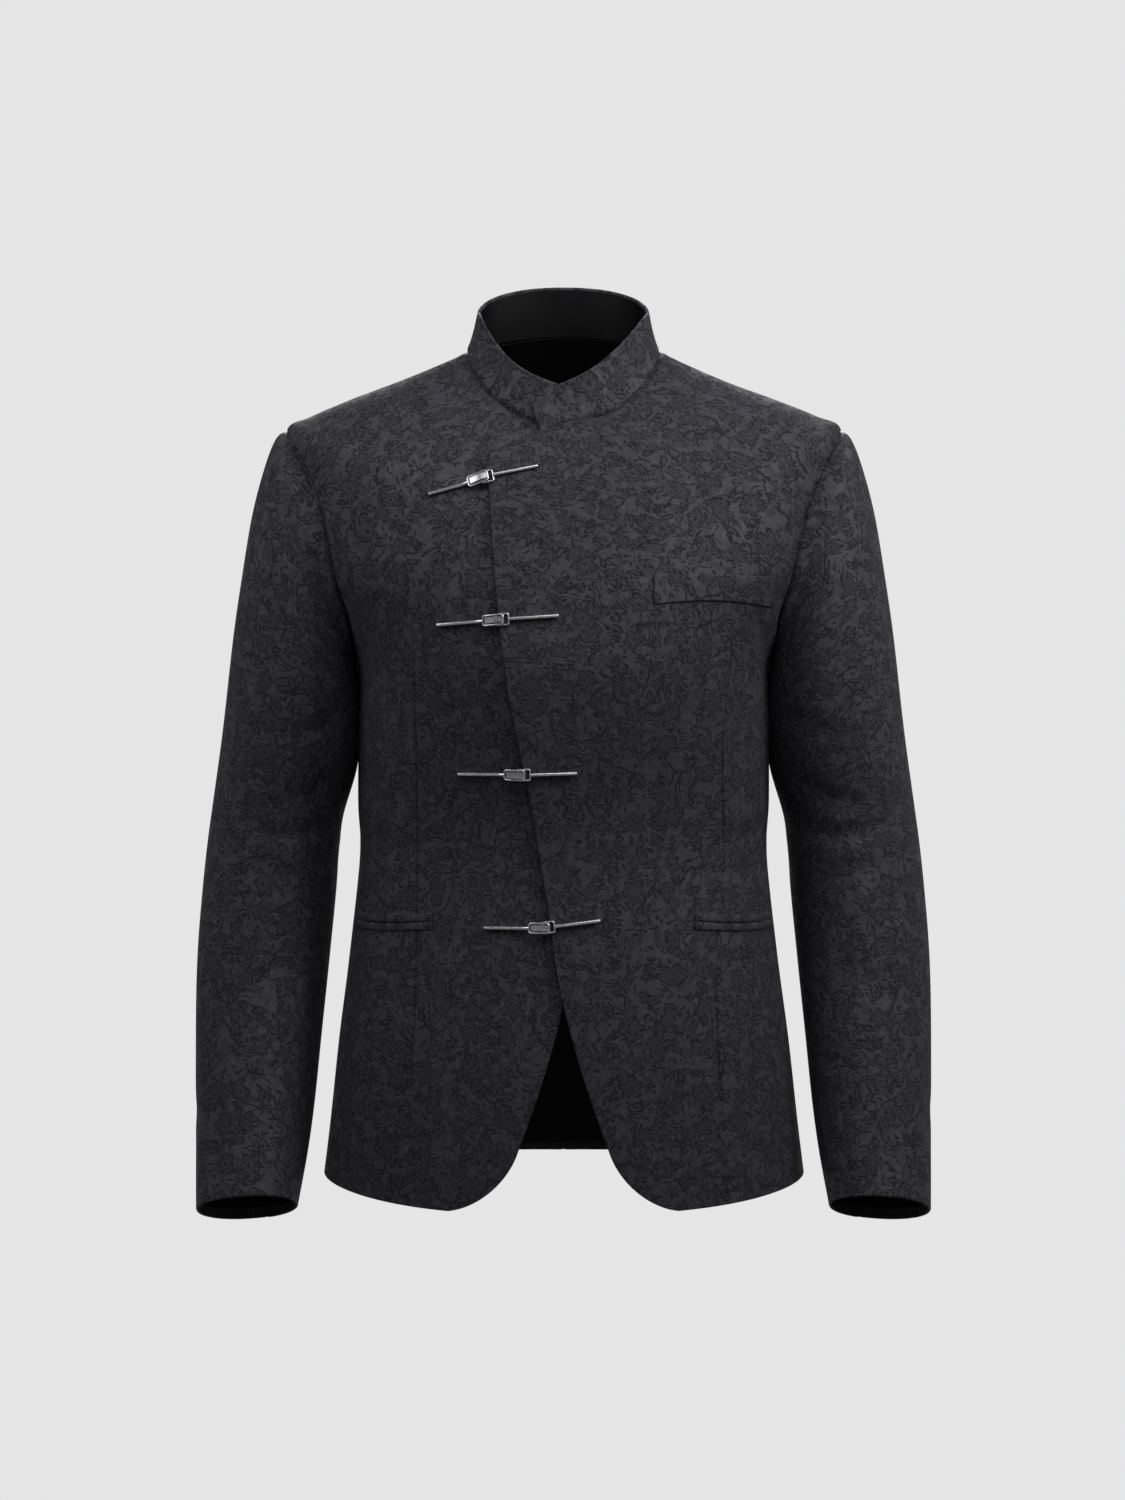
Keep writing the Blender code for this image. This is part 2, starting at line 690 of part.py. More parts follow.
def add_welt(cloth, collection):
    """The chest pocket's welt, arched along its lower edge."""
    rows = []
    for f in (0.0, 0.5, 1.0):
        row = []
        for x in spread(WELT_INNER_X, WELT_OUTER_X, TRIM_COLUMNS):
            arch = math.sin(math.pi * (x - WELT_INNER_X) / (WELT_OUTER_X - WELT_INNER_X))
            low = WELT_BOTTOM_Z + WELT_ARCH * arch
            row.append(place_at(x, low + (WELT_TOP_Z - low) * f))
        rows.append(row)
    wall("chest_welt", *strip_on_front(rows, True), cloth, collection)


def jet_places(top_z):
    """A jet's grid: two rows along the pocket, drooping a little towards the front."""
    rows = []
    level, start = place_at(JET_INNER_X, top_z - JET_WIDTH / 2)
    for f in (0.0, 1.0):
        row = []
        for i, turn in enumerate(spread(start, JET_OUTER_TURN, TRIM_COLUMNS)):
            bow = JET_DROOP * math.sin(math.pi * i / TRIM_COLUMNS)
            z = top_z - JET_WIDTH * (1 - f) - bow
            row.append((level_at_height(turn, z), turn))
        rows.append(row)
    return rows


def level_at_height(turn, z):
    """The level at which the body has height z on a given turn."""
    low = 0.0
    high = float(UNDERARM)
    for _ in range(HALVINGS):
        level = (low + high) / 2
        if body(level, turn)[2] < z:
            low = level
        else:
            high = level
    return level


def add_jets(cloth, collection):
    """The two jets of each side pocket."""
    for which, top in (("upper", JET_TOP_Z), ("lower", JET_TOP_Z - JET_WIDTH - JET_GAP)):
        for side, lifted in (("left", True), ("right", False)):
            strip = strip_on_front(jet_places(top), lifted)
            if side == "right":
                strip = mirrored(*strip)
            wall(f"pocket_{side}_{which}_jet", *strip, cloth, collection)


def on_chest(x, z, off, lifted):
    """A point off the front's surface, over x and z in front view."""
    level, turn = place_at(x, z)
    point = body(level, turn)
    lift = overlap(point[0], point[2]) if lifted else 0.0
    return point + body_normal(level, turn) * (lift + off)


def tube(points, radius, closed=False):
    """A round wire through points, as a mesh object of its own."""
    curve = bpy.data.curves.new("wire", "CURVE")
    curve.dimensions = "3D"
    curve.bevel_depth = radius * MM
    curve.bevel_resolution = 1
    curve.use_fill_caps = not closed
    spline = curve.splines.new("POLY")
    spline.points.add(len(points) - 1)
    for target, point in zip(spline.points, points):
        target.co = (*(np.array(point) * MM), 1.0)
    spline.use_cyclic_u = closed
    guide = bpy.data.objects.new("wire", curve)
    bpy.context.scene.collection.objects.link(guide)
    mesh = bpy.data.meshes.new_from_object(guide.evaluated_get(bpy.context.evaluated_depsgraph_get()))
    bpy.data.objects.remove(guide)
    bm = bmesh.new()
    bm.from_mesh(mesh)
    bmesh.ops.remove_doubles(bm, verts=bm.verts, dist=1e-6)
    bmesh.ops.recalc_face_normals(bm, faces=bm.faces)
    bm.to_mesh(mesh)
    bm.free()
    made = bpy.data.objects.new("wire", mesh)
    bpy.context.scene.collection.objects.link(made)
    return made


def block(corners):
    """A bent bar from rows of four corner points, closed at both ends."""
    bm = bmesh.new()
    rings = [[bm.verts.new(np.array(p) * MM) for p in ring] for ring in corners]
    for low, high in zip(rings, rings[1:]):
        for i in range(4):
            bm.faces.new((low[i], low[(i + 1) % 4], high[(i + 1) % 4], high[i]))
    bm.faces.new(rings[0])
    bm.faces.new(rings[-1])
    bmesh.ops.recalc_face_normals(bm, faces=bm.faces)
    mesh = bpy.data.meshes.new("bar")
    bm.to_mesh(mesh)
    bm.free()
    made = bpy.data.objects.new("bar", mesh)
    bpy.context.scene.collection.objects.link(made)
    return made


def fused(name, pieces, metal, collection):
    """One closed solid from pieces that reach into each other."""
    base = pieces[0]
    for piece in pieces[1:]:
        union = base.modifiers.new("union", "BOOLEAN")
        union.operation = "UNION"
        union.object = piece
    mesh = bpy.data.meshes.new_from_object(base.evaluated_get(bpy.context.evaluated_depsgraph_get()))
    for piece in pieces:
        bpy.data.objects.remove(piece)
    bm = bmesh.new()
    bm.from_mesh(mesh)
    bmesh.ops.dissolve_degenerate(bm, edges=bm.edges, dist=1e-6)
    bmesh.ops.triangulate(bm, faces=bm.faces)
    bpy.data.meshes.remove(mesh)
    return finished(name, bm, metal, collection)


def clasp_frame(clasp, toward_x, toward_z):
    """Directions of one half of a clasp in front view: along, away from the buckle, and across."""
    along = unit(np.array([toward_x - clasp.mid_x, toward_z - clasp.mid_z]))
    return along, np.array([-along[1], along[0]])


def hook_rise(u):
    """How high the hook's middle line runs over the right front, at a distance along the clasp."""
    low = METAL_OFF + ROD_RADIUS
    high = OVERLAP_LIFT + METAL_OFF + 3 * WIRE_RADIUS + METAL_OFF
    return low + (high - low) * ease((u - HOOK_RAMP_FROM) / (HOOK_RAMP_TO - HOOK_RAMP_FROM))


def add_hook(name, clasp, metal, collection):
    """The hook half: a rod on the right front, and a wire frame with a plate that reaches over the loop."""
    along, across = clasp_frame(clasp, clasp.hook_x, clasp.hook_z)
    length = math.hypot(clasp.hook_x - clasp.mid_x, clasp.hook_z - clasp.mid_z)

    def at(u, v, extra=0.0):
        x, z = np.array([clasp.mid_x, clasp.mid_z]) - along * u + across * v
        return on_chest(x, z, hook_rise(u) + extra, False)

    rod = tube([at(u, 0.0) for u in spread(-length, HOOK_FRAME_FROM + FUSE_REACH, ROD_STEPS)], ROD_RADIUS)
    half = HOOK_FRAME_HALF
    side = [(HOOK_FRAME_TO, half), (HOOK_RAMP_TO, half), (HOOK_RAMP_MIDDLE, half)]
    side += [(HOOK_FRAME_FROM + HOOK_CORNER, half), (HOOK_FRAME_FROM + HOOK_CHAMFER, HOOK_CHAMFER_HALF)]
    outline = side + [(HOOK_FRAME_FROM, 0.0)] + [(u, -v) for u, v in reversed(side)]
    frame = tube([at(u, v) for u, v in outline], WIRE_RADIUS, closed=True)
    thick = PLATE_HALF_THICK
    corners = ((-PLATE_HALF, -thick), (PLATE_HALF, -thick), (PLATE_HALF, thick), (-PLATE_HALF, thick))
    plate_steps = spread(PLATE_FROM, HOOK_FRAME_TO - PLATE_SHORT, ROD_STEPS)
    plate = block([[at(u, v, w) for v, w in corners] for u in plate_steps])
    foot = ((-TONGUE_HALF, -TONGUE_DEPTH), (TONGUE_HALF, -TONGUE_DEPTH), (TONGUE_HALF, 0.0), (-TONGUE_HALF, 0.0))
    tongue_steps = (HOOK_FRAME_TO - TONGUE_LENGTH, HOOK_FRAME_TO + FUSE_REACH)
    tongue = block([[at(u, v, w) for v, w in foot] for u in tongue_steps])
    fused(name, [frame, rod, plate, tongue], metal, collection)


def add_loop(name, clasp, metal, collection):
    """The loop half: a square wire loop at the front edge and a rod on the left front."""
    along, across = clasp_frame(clasp, clasp.loop_x, clasp.loop_z)
    length = math.hypot(clasp.loop_x - clasp.mid_x, clasp.loop_z - clasp.mid_z)

    def at(u, v, off):
        x, z = np.array([clasp.mid_x, clasp.mid_z]) + along * u + across * v
        return on_chest(x, z, off, True)

    low = METAL_OFF + WIRE_RADIUS
    inset = LOOP_CORNER
    outline = [(LOOP_FROM + inset, -LOOP_HALF), (LOOP_TO - inset, -LOOP_HALF), (LOOP_TO, inset - LOOP_HALF)]
    outline += [(LOOP_TO, LOOP_HALF - inset), (LOOP_TO - inset, LOOP_HALF), (LOOP_FROM + inset, LOOP_HALF)]
    outline += [(LOOP_FROM, LOOP_HALF - inset), (LOOP_FROM, inset - LOOP_HALF)]
    frame = tube([at(u, v, low) for u, v in outline], WIRE_RADIUS, closed=True)
    rod = tube([at(u, 0.0, METAL_OFF + ROD_RADIUS) for u in spread(LOOP_TO, length, ROD_STEPS)], ROD_RADIUS)
    fused(name, [frame, rod], metal, collection)


def add_clasps(metal, collection):
    """Four clasps, numbered from the collar down, each fastened: a hook half and a loop half."""
    for number, clasp in enumerate(CLASPS, 1):
        add_hook(f"clasp_{number}_hook", clasp, metal, collection)
        add_loop(f"clasp_{number}_loop", clasp, metal, collection)


def main():
    for old in list(bpy.data.objects):
        bpy.data.objects.remove(old)
    collection = bpy.data.collections.new("mandarin_collar_blazer")
    bpy.context.scene.collection.children.link(collection)
    cloth = material("jacquard", JACQUARD, 0.6)
    lining = material("lining", LINING, 0.45)
    metal = material("silver_metal", SILVER, 0.3, metallic=1.0)
    add_fronts(cloth, collection)
    add_backs(cloth, collection)
    add_lining(lining, collection)
    add_collar(cloth, collection)
    add_sleeves(cloth, collection)
    add_welt(cloth, collection)
    add_jets(cloth, collection)
    add_clasps(metal, collection)


main()
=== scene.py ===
"""The looks of a men's mandarin collar blazer: floral jacquard panels, black lining, metal clasps, studio.

Sizes are in millimetres and become metres where a mesh is made. +Z is up, the front faces -Y and the wearer's
left is +X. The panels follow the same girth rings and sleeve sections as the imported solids, with more rows
and columns, seam valleys, turned edges and soft creases.
"""

import json
import logging
import math
from dataclasses import dataclass, field
from enum import Enum
from typing import Callable, NamedTuple

import bmesh
import bpy
import numpy as np
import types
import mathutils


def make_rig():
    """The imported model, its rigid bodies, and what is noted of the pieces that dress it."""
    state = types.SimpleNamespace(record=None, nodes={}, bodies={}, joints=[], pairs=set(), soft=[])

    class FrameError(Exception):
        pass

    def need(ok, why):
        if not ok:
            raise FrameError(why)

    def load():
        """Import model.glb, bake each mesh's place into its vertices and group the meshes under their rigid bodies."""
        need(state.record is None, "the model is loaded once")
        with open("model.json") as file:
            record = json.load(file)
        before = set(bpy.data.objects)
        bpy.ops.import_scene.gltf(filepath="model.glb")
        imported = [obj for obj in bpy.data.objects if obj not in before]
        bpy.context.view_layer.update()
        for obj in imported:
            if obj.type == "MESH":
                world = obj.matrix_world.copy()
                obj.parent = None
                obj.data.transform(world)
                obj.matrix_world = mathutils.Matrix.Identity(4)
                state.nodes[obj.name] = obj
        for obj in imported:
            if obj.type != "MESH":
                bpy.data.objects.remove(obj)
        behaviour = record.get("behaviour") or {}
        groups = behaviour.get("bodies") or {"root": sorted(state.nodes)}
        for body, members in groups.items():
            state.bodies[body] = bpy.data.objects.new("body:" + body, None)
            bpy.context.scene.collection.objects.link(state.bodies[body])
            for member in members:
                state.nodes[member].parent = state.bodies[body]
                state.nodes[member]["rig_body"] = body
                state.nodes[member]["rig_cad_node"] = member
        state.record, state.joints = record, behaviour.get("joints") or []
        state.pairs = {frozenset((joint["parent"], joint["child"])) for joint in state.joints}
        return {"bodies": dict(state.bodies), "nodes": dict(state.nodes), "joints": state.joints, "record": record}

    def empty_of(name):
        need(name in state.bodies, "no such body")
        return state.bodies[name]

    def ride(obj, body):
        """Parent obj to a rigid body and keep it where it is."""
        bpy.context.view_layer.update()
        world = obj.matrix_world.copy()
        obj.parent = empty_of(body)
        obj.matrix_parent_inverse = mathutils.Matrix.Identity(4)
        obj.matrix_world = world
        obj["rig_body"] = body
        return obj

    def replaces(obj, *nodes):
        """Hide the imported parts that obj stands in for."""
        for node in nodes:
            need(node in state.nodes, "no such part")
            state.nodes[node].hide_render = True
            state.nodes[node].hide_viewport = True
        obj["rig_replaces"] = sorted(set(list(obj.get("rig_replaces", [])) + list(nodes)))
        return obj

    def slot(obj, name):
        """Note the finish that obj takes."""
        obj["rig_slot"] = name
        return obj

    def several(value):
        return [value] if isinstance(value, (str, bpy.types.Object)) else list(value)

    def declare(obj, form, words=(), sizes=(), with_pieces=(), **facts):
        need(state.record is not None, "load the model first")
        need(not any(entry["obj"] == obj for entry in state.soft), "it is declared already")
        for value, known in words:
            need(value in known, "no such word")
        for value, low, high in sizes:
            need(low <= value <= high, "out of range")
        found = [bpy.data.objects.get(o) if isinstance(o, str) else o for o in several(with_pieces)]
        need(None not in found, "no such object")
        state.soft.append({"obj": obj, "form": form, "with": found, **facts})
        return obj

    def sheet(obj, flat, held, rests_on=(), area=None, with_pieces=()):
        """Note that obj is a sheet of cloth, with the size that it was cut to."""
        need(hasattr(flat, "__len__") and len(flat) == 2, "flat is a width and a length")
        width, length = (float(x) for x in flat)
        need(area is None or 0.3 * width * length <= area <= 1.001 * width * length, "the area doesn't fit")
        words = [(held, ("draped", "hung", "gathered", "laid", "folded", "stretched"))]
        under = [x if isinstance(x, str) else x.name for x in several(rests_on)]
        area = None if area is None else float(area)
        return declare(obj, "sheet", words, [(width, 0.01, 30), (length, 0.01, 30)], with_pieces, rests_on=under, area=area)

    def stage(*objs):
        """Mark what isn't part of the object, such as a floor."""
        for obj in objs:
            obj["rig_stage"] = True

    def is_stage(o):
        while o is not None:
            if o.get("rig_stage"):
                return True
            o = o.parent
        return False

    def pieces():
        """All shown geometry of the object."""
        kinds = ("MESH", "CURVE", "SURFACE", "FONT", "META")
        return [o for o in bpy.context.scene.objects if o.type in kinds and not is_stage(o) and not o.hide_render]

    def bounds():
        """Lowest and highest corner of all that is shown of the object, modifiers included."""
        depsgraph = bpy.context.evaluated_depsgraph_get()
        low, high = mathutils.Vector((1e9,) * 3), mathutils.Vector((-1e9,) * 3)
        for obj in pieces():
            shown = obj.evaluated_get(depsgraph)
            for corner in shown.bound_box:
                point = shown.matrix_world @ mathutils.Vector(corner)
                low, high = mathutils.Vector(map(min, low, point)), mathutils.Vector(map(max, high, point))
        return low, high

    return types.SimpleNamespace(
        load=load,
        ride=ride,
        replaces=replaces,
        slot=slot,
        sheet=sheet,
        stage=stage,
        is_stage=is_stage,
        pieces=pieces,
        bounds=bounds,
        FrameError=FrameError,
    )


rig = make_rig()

Array = np.ndarray
Pair = tuple[Array, Array]
Places = Callable[[Array, Array], Pair]
Faces = list[tuple[int, ...]]
Colour = tuple[float, float, float, float]
Socket = bpy.types.NodeSocket
Material = bpy.types.Material
Piece = bpy.types.Object

MM = 0.001
QUARTER = math.pi / 2
SIZE_FILE = "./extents.json"
LOG = logging.getLogger("blazer")


class Girth(NamedTuple):
    """One ring round the body: half width, depths, squareness, three heights, and the dip's power."""

    half_width: float
    depth_front: float
    depth_back: float
    square: float
    z_side: float
    z_front: float
    z_back: float
    dip: float


GIRTHS = [
    Girth(201.5, 131, 140, 2.5, -687, -708, -685, 2.0),
    Girth(196.5, 129, 139, 2.5, -645, -657, -643, 2.0),
    Girth(189.0, 125, 134, 2.5, -578, -584, -577, 2.0),
    Girth(179.7, 119, 124, 2.45, -511, -513, -510, 2.0),
    Girth(171.8, 113, 112, 2.4, -443, -443, -443, 2.0),
    Girth(170.0, 112, 108, 2.4, -410, -410, -410, 2.0),
    Girth(172.0, 114, 110, 2.4, -376, -376, -375, 2.0),
    Girth(172.2, 122, 118, 2.45, -310, -311, -308, 2.0),
    Girth(172.6, 126, 123, 2.5, -266, -270, -260, 2.0),
    Girth(185.0, 125, 125, 2.5, -226, -236, -215, 2.0),
    Girth(205.0, 122, 125, 2.45, -186, -206, -175, 2.0),
    Girth(217.0, 117, 122, 2.35, -146, -178, -147, 2.0),
    Girth(226.0, 111, 117, 2.2, -106, -152, -120, 2.0),
    Girth(232.5, 104, 109, 2.05, -66, -129, -94, 2.0),
    Girth(212.0, 97, 101, 2.0, -54, -113, -68, 2.0),
    Girth(177.0, 88, 91, 2.0, -39.5, -98, -42, 1.9),
    Girth(137.0, 79, 79, 2.03, -24.5, -84, -17, 1.7),
    Girth(102.0, 71, 66, 2.07, -9.5, -73, 7, 1.5),
    Girth(81.0, 66, 58, 2.1, 0, -67, 20, 1.4),
]
UNDERARM = 8
SHOULDER_POINT = 13
NECK = 18
COLLAR_TOP = Girth(72.3, 59.5, 54.5, 2.1, 33, -31, 61.5, 0.95)


class Section(NamedTuple):
    """One section of the left sleeve: outer and inner point, half depth, middle y, pitch in degrees."""

    x_out: float
    z_out: float
    x_in: float
    z_in: float
    depth: float
    y_mid: float
    pitch: float


SLEEVE = [
    Section(241.5, -73.0, 171.8, -269.0, 62.5, 0, 0),
    Section(251.0, -98.0, 170.8, -275.0, 63.5, 0, 0),
    Section(262.0, -142.0, 169.9, -285.0, 65.0, 0, 0),
    Section(272.0, -206.0, 169.8, -300.0, 66.0, 1, 0),
    Section(282.0, -280.0, 170.6, -322.0, 66.0, 4, 0),
    Section(290.0, -341.0, 174.6, -350.0, 64.0, 7, 1),
    Section(295.5, -384.0, 185.6, -387.0, 61.5, 9, 3),
    Section(299.0, -412.0, 188.6, -412.0, 60.0, 8, 5),
    Section(303.0, -452.0, 191.0, -450.0, 58.0, 4, 9),
    Section(306.0, -498.0, 195.0, -495.0, 56.0, -3, 12),
    Section(307.0, -553.0, 199.5, -548.0, 53.5, -14, 15),
    Section(306.2, -611.0, 205.0, -605.5, 50.5, -29, 17),
    Section(303.3, -667.0, 211.6, -661.5, 47.5, -46, 18),
    Section(301.6, -713.5, 218.6, -708.0, 45.5, -61, 19),
]
SLEEVE_TURNS = 20

# Lines of the front as seen from the front, as heights and distances to the wearer's left: the edge of the
# front that lies on top, and the darts
FRONT_EDGE = list(
    zip(
        (-708, -655, -600, -528, -450, -364, -284, -216, -150, -94),
        (54.0, 35.7, 16.5, -2.8, -14.5, -29.0, -44.7, -53.2, -58.5, -61.0),
    )
)
DART_LEFT = list(
    zip((-700, -640, -580, -487, -450, -318, -257), (131, 129.5, 125.5, 125.5, 129.5, 130.3, 136))
)
DART_RIGHT = list(zip((-700, -640, -580, -487, -450, -343, -270), (127, 125, 122, 119, 119, 119.8, 121.4)))


class Wave(NamedTuple):
    """A slow wave of the cloth: its height, the length of a radian along two coordinates, and its start."""

    height: float
    over_a: float
    over_b: float
    start: float


BODY_WAVES = (Wave(0.35, 31, 83, 0.4), Wave(0.3, -59, 47, 1.9))
SLEEVE_WAVES = (Wave(0.4, 41, 2.1, 0), Wave(0.25, 23, -1.3, 0))
COLLAR_WAVES = (Wave(0.35, 17, 29, 0),)
CREASE_LEAST = 0.15
CREASE_POWER = 0.8


class Crease(NamedTuple):
    """A soft crease on a flat map of a piece: the points of its line, its half width and its height."""

    line: tuple[tuple[float, float], ...]
    half_width: float
    height: float


FRONT_CREASES = [
    Crease(((154, -223), (165, -238), (168, -275)), 5.0, -1.6),
    Crease(((162, -214), (174, -236), (176, -268)), 6.0, 1.0),
    Crease(((44, -53), (58, -69)), 4.5, 1.3),
    Crease(((-60, -60), (-74, -74)), 5.0, 0.7),
    Crease(((-158, -232), (-168, -262)), 6.0, -1.2),
    Crease(((168, -398), (128, -412), (104, -410)), 9.0, -1.0),
    Crease(((-168, -404), (-132, -414), (-100, -408)), 10.0, -0.9),
    Crease(((165, -430), (138, -437)), 8.0, -0.7),
    Crease(((-164, -372), (-128, -386)), 8.0, -0.7),
    Crease(((150, -128), (118, -168), (104, -196)), 13.0, -0.8),
    Crease(((-152, -132), (-126, -172)), 12.0, -0.8),
    Crease(((60, -560), (76, -620), (84, -680)), 17.0, -0.9),
    Crease(((-66, -540), (-74, -610), (-78, -672)), 18.0, -0.8),
]
BACK_CREASES = [
    Crease(((-150, -215), (-128, -238), (-118, -268)), 9.0, -1.5),
    Crease(((148, -208), (130, -236), (124, -262)), 9.0, -1.4),
    Crease(((-95, -398), (-40, -412), (10, -408)), 11.0, -1.5),
    Crease(((20, -430), (72, -424), (120, -434)), 12.0, -1.3),
    Crease(((-120, -372), (-70, -380)), 10.0, -1.1),
    Crease(((-60, 0), (-88, -30), (-98, -62)), 9.0, -0.8),
    Crease(((66, -2), (90, -34)), 9.0, -0.8),
    Crease(((-70, -540), (-82, -610), (-88, -672)), 18.0, -1.4),
    Crease(((64, -520), (76, -600), (84, -668)), 18.0, -1.3),
]

# On the sleeve's map: distance round from the outer line towards the front, and height
SLEEVE_CREASES = [
    Crease(((136, -300), (108, -318), (84, -322)), 8.0, -1.8),
    Crease(((140, -352), (112, -372), (76, -380)), 9.0, -1.9),
    Crease(((138, -398), (104, -406), (66, -398)), 8.0, -2.2),
    Crease(((134, -440), (106, -438), (74, -428)), 8.0, -1.6),
    Crease(((128, -500), (92, -520), (60, -548)), 11.0, -1.2),
    Crease(((-34, -395), (-62, -428), (-84, -440)), 12.0, -1.0),
    Crease(((-20, -118), (-48, -170), (-62, -226)), 12.0, -1.0),
    Crease(((52, -150), (60, -206), (72, -256)), 12.0, -1.0),
    Crease(((-30, -610), (6, -632), (40, -628)), 10.0, -0.8),
    Crease(((70, -640), (98, -655)), 9.0, -0.9),
    Crease(((180, -420), (210, -440), (240, -436)), 10.0, -1.2),
]


class Side(Enum):
    """A side of the wearer, as the sign of X."""

    LEFT = 1
    RIGHT = -1

    @property
    def word(self) -> str:
        """The side's name in lower case."""
        return self.name.lower()

    @property
    def across(self) -> Array:
        """Factors that carry a point of the left half to this side."""
        return np.array([float(self.value), 1.0, 1.0])


class Edge(Enum):
    """The four edges of a panel's grid of points."""

    FIRST_COLUMN = "first column"
    LAST_COLUMN = "last column"
    FIRST_ROW = "first row"
    LAST_ROW = "last row"


def between(rows: Array, at: Array) -> Array:
    """Smooth values between the rows of a table, which stand at 0, 1, 2 and so on.

    Args:
        rows: The table, one row for each whole position.
        at: The positions asked for.

    Returns:
        One row of values for each position.
    """
    rows = np.asarray(rows, float)
    at = np.asarray(at, float)
    padded = np.concatenate([(2 * rows[0] - rows[1])[None], rows, (2 * rows[-1] - rows[-2])[None]])
    i = np.clip(np.floor(at).astype(int), 0, len(rows) - 2)
    f = (at - i).reshape(at.shape + (1,) * (rows.ndim - 1))
    before, here, there, after = (padded[i + k] for k in range(4))
    bend = 2 * before - 5 * here + 4 * there - after
    twist = 3 * here - before - 3 * there + after
    return 0.5 * (2 * here + (there - before) * f + bend * f**2 + twist * f**3)


def smooth_table(table: list[tuple[float, float]], at: Array) -> Array:
    """Smooth values from a table of (position, value) rows in rising order.

    Args:
        table: The rows.
        at: The positions asked for; beyond the table its end values hold.

    Returns:
        One value for each position.
    """
    places, values = np.array(table, float).T
    slopes = np.gradient(values, places)
    i = np.clip(np.searchsorted(places, at) - 1, 0, len(places) - 2)
    width = places[i + 1] - places[i]
    f = np.clip((at - places[i]) / width, 0, 1)
    start = values[i] * (1 + 2 * f) * (1 - f) ** 2 + values[i + 1] * f**2 * (3 - 2 * f)
    return start + width * (slopes[i] * f * (1 - f) ** 2 - slopes[i + 1] * f**2 * (1 - f))


def ease(f: Array) -> Array:
    """0 below 0, 1 above 1, and smooth between."""
    f = np.clip(f, 0, 1)
    return f * f * (3 - 2 * f)


def unit(v: Array) -> Array:
    """The vectors at length 1."""
    return v / np.maximum(np.linalg.norm(v, axis=-1, keepdims=True), 1e-9)


def dimmed(colour: Colour, share: float) -> Colour:
    """The colour with its light cut to a share."""
    return tuple(share * part for part in colour[:3]) + (1.0,)


def added_up(steps: Array, axis: int = 0) -> Array:
    """The running sum of steps, from 0."""
    return np.insert(np.cumsum(steps, axis=axis), 0, 0.0, axis=axis)


def run_lengths(points: Array, axis: int) -> Array:
    """The distance of each point of a grid from the grid's start, along its rows or columns."""
    return added_up(np.linalg.norm(np.diff(points, axis=axis), axis=-1), axis)


def waver(a: Array, b: Array | float, waves: tuple[Wave, ...]) -> Array:
    """The height of slow waves at two coordinates."""
    return sum(wave.height * np.sin(a / wave.over_a + b / wave.over_b + wave.start) for wave in waves)


def joined(left: Array, right: Array) -> Array:
    """One grid from its two halves, each from its outer end to the column that both share."""
    return np.concatenate([left, right[:, -2::-1]], axis=1)


def graded(length: float, step: float, fine_start: bool = True, fine_end: bool = True) -> Array:
    """Fractions along a length, close together near its ends.

    Args:
        length: The length in millimetres.
        step: The usual step in millimetres.
        fine_start: Whether the steps are fine at the start.
        fine_end: Whether the steps are fine at the end.

    Returns:
        Rising fractions from 0 to 1.
    """
    close = np.array([0.0, 0.35, 0.8, 1.4, 2.2, 3.4, 5.0]) / length
    start = close if fine_start else np.array([0.0])
    end = 1 - close[::-1] if fine_end else np.array([1.0])
    count = max(int(round((end[0] - start[-1]) * length / step)), 1)
    middle = np.linspace(start[-1], end[0], count + 1)
    return np.concatenate([start, middle[1:-1], end])


def resampled(grid: Array, rows_at: Array, columns_at: Array) -> Array:
    """Straight values between the points of a grid.

    Args:
        grid: The points.
        rows_at: Fractional rows.
        columns_at: Fractional columns.

    Returns:
        A grid with one point for each row and column asked for.
    """
    r = np.clip(rows_at.astype(int), 0, grid.shape[0] - 2)
    c = np.clip(columns_at.astype(int), 0, grid.shape[1] - 2)
    f = (rows_at - r)[:, None, None]
    g = (columns_at - c)[None, :, None]
    upper = grid[r][:, c] * (1 - g) + grid[r][:, c + 1] * g
    lower = grid[r + 1][:, c] * (1 - g) + grid[r + 1][:, c + 1] * g
    return upper * (1 - f) + lower * f


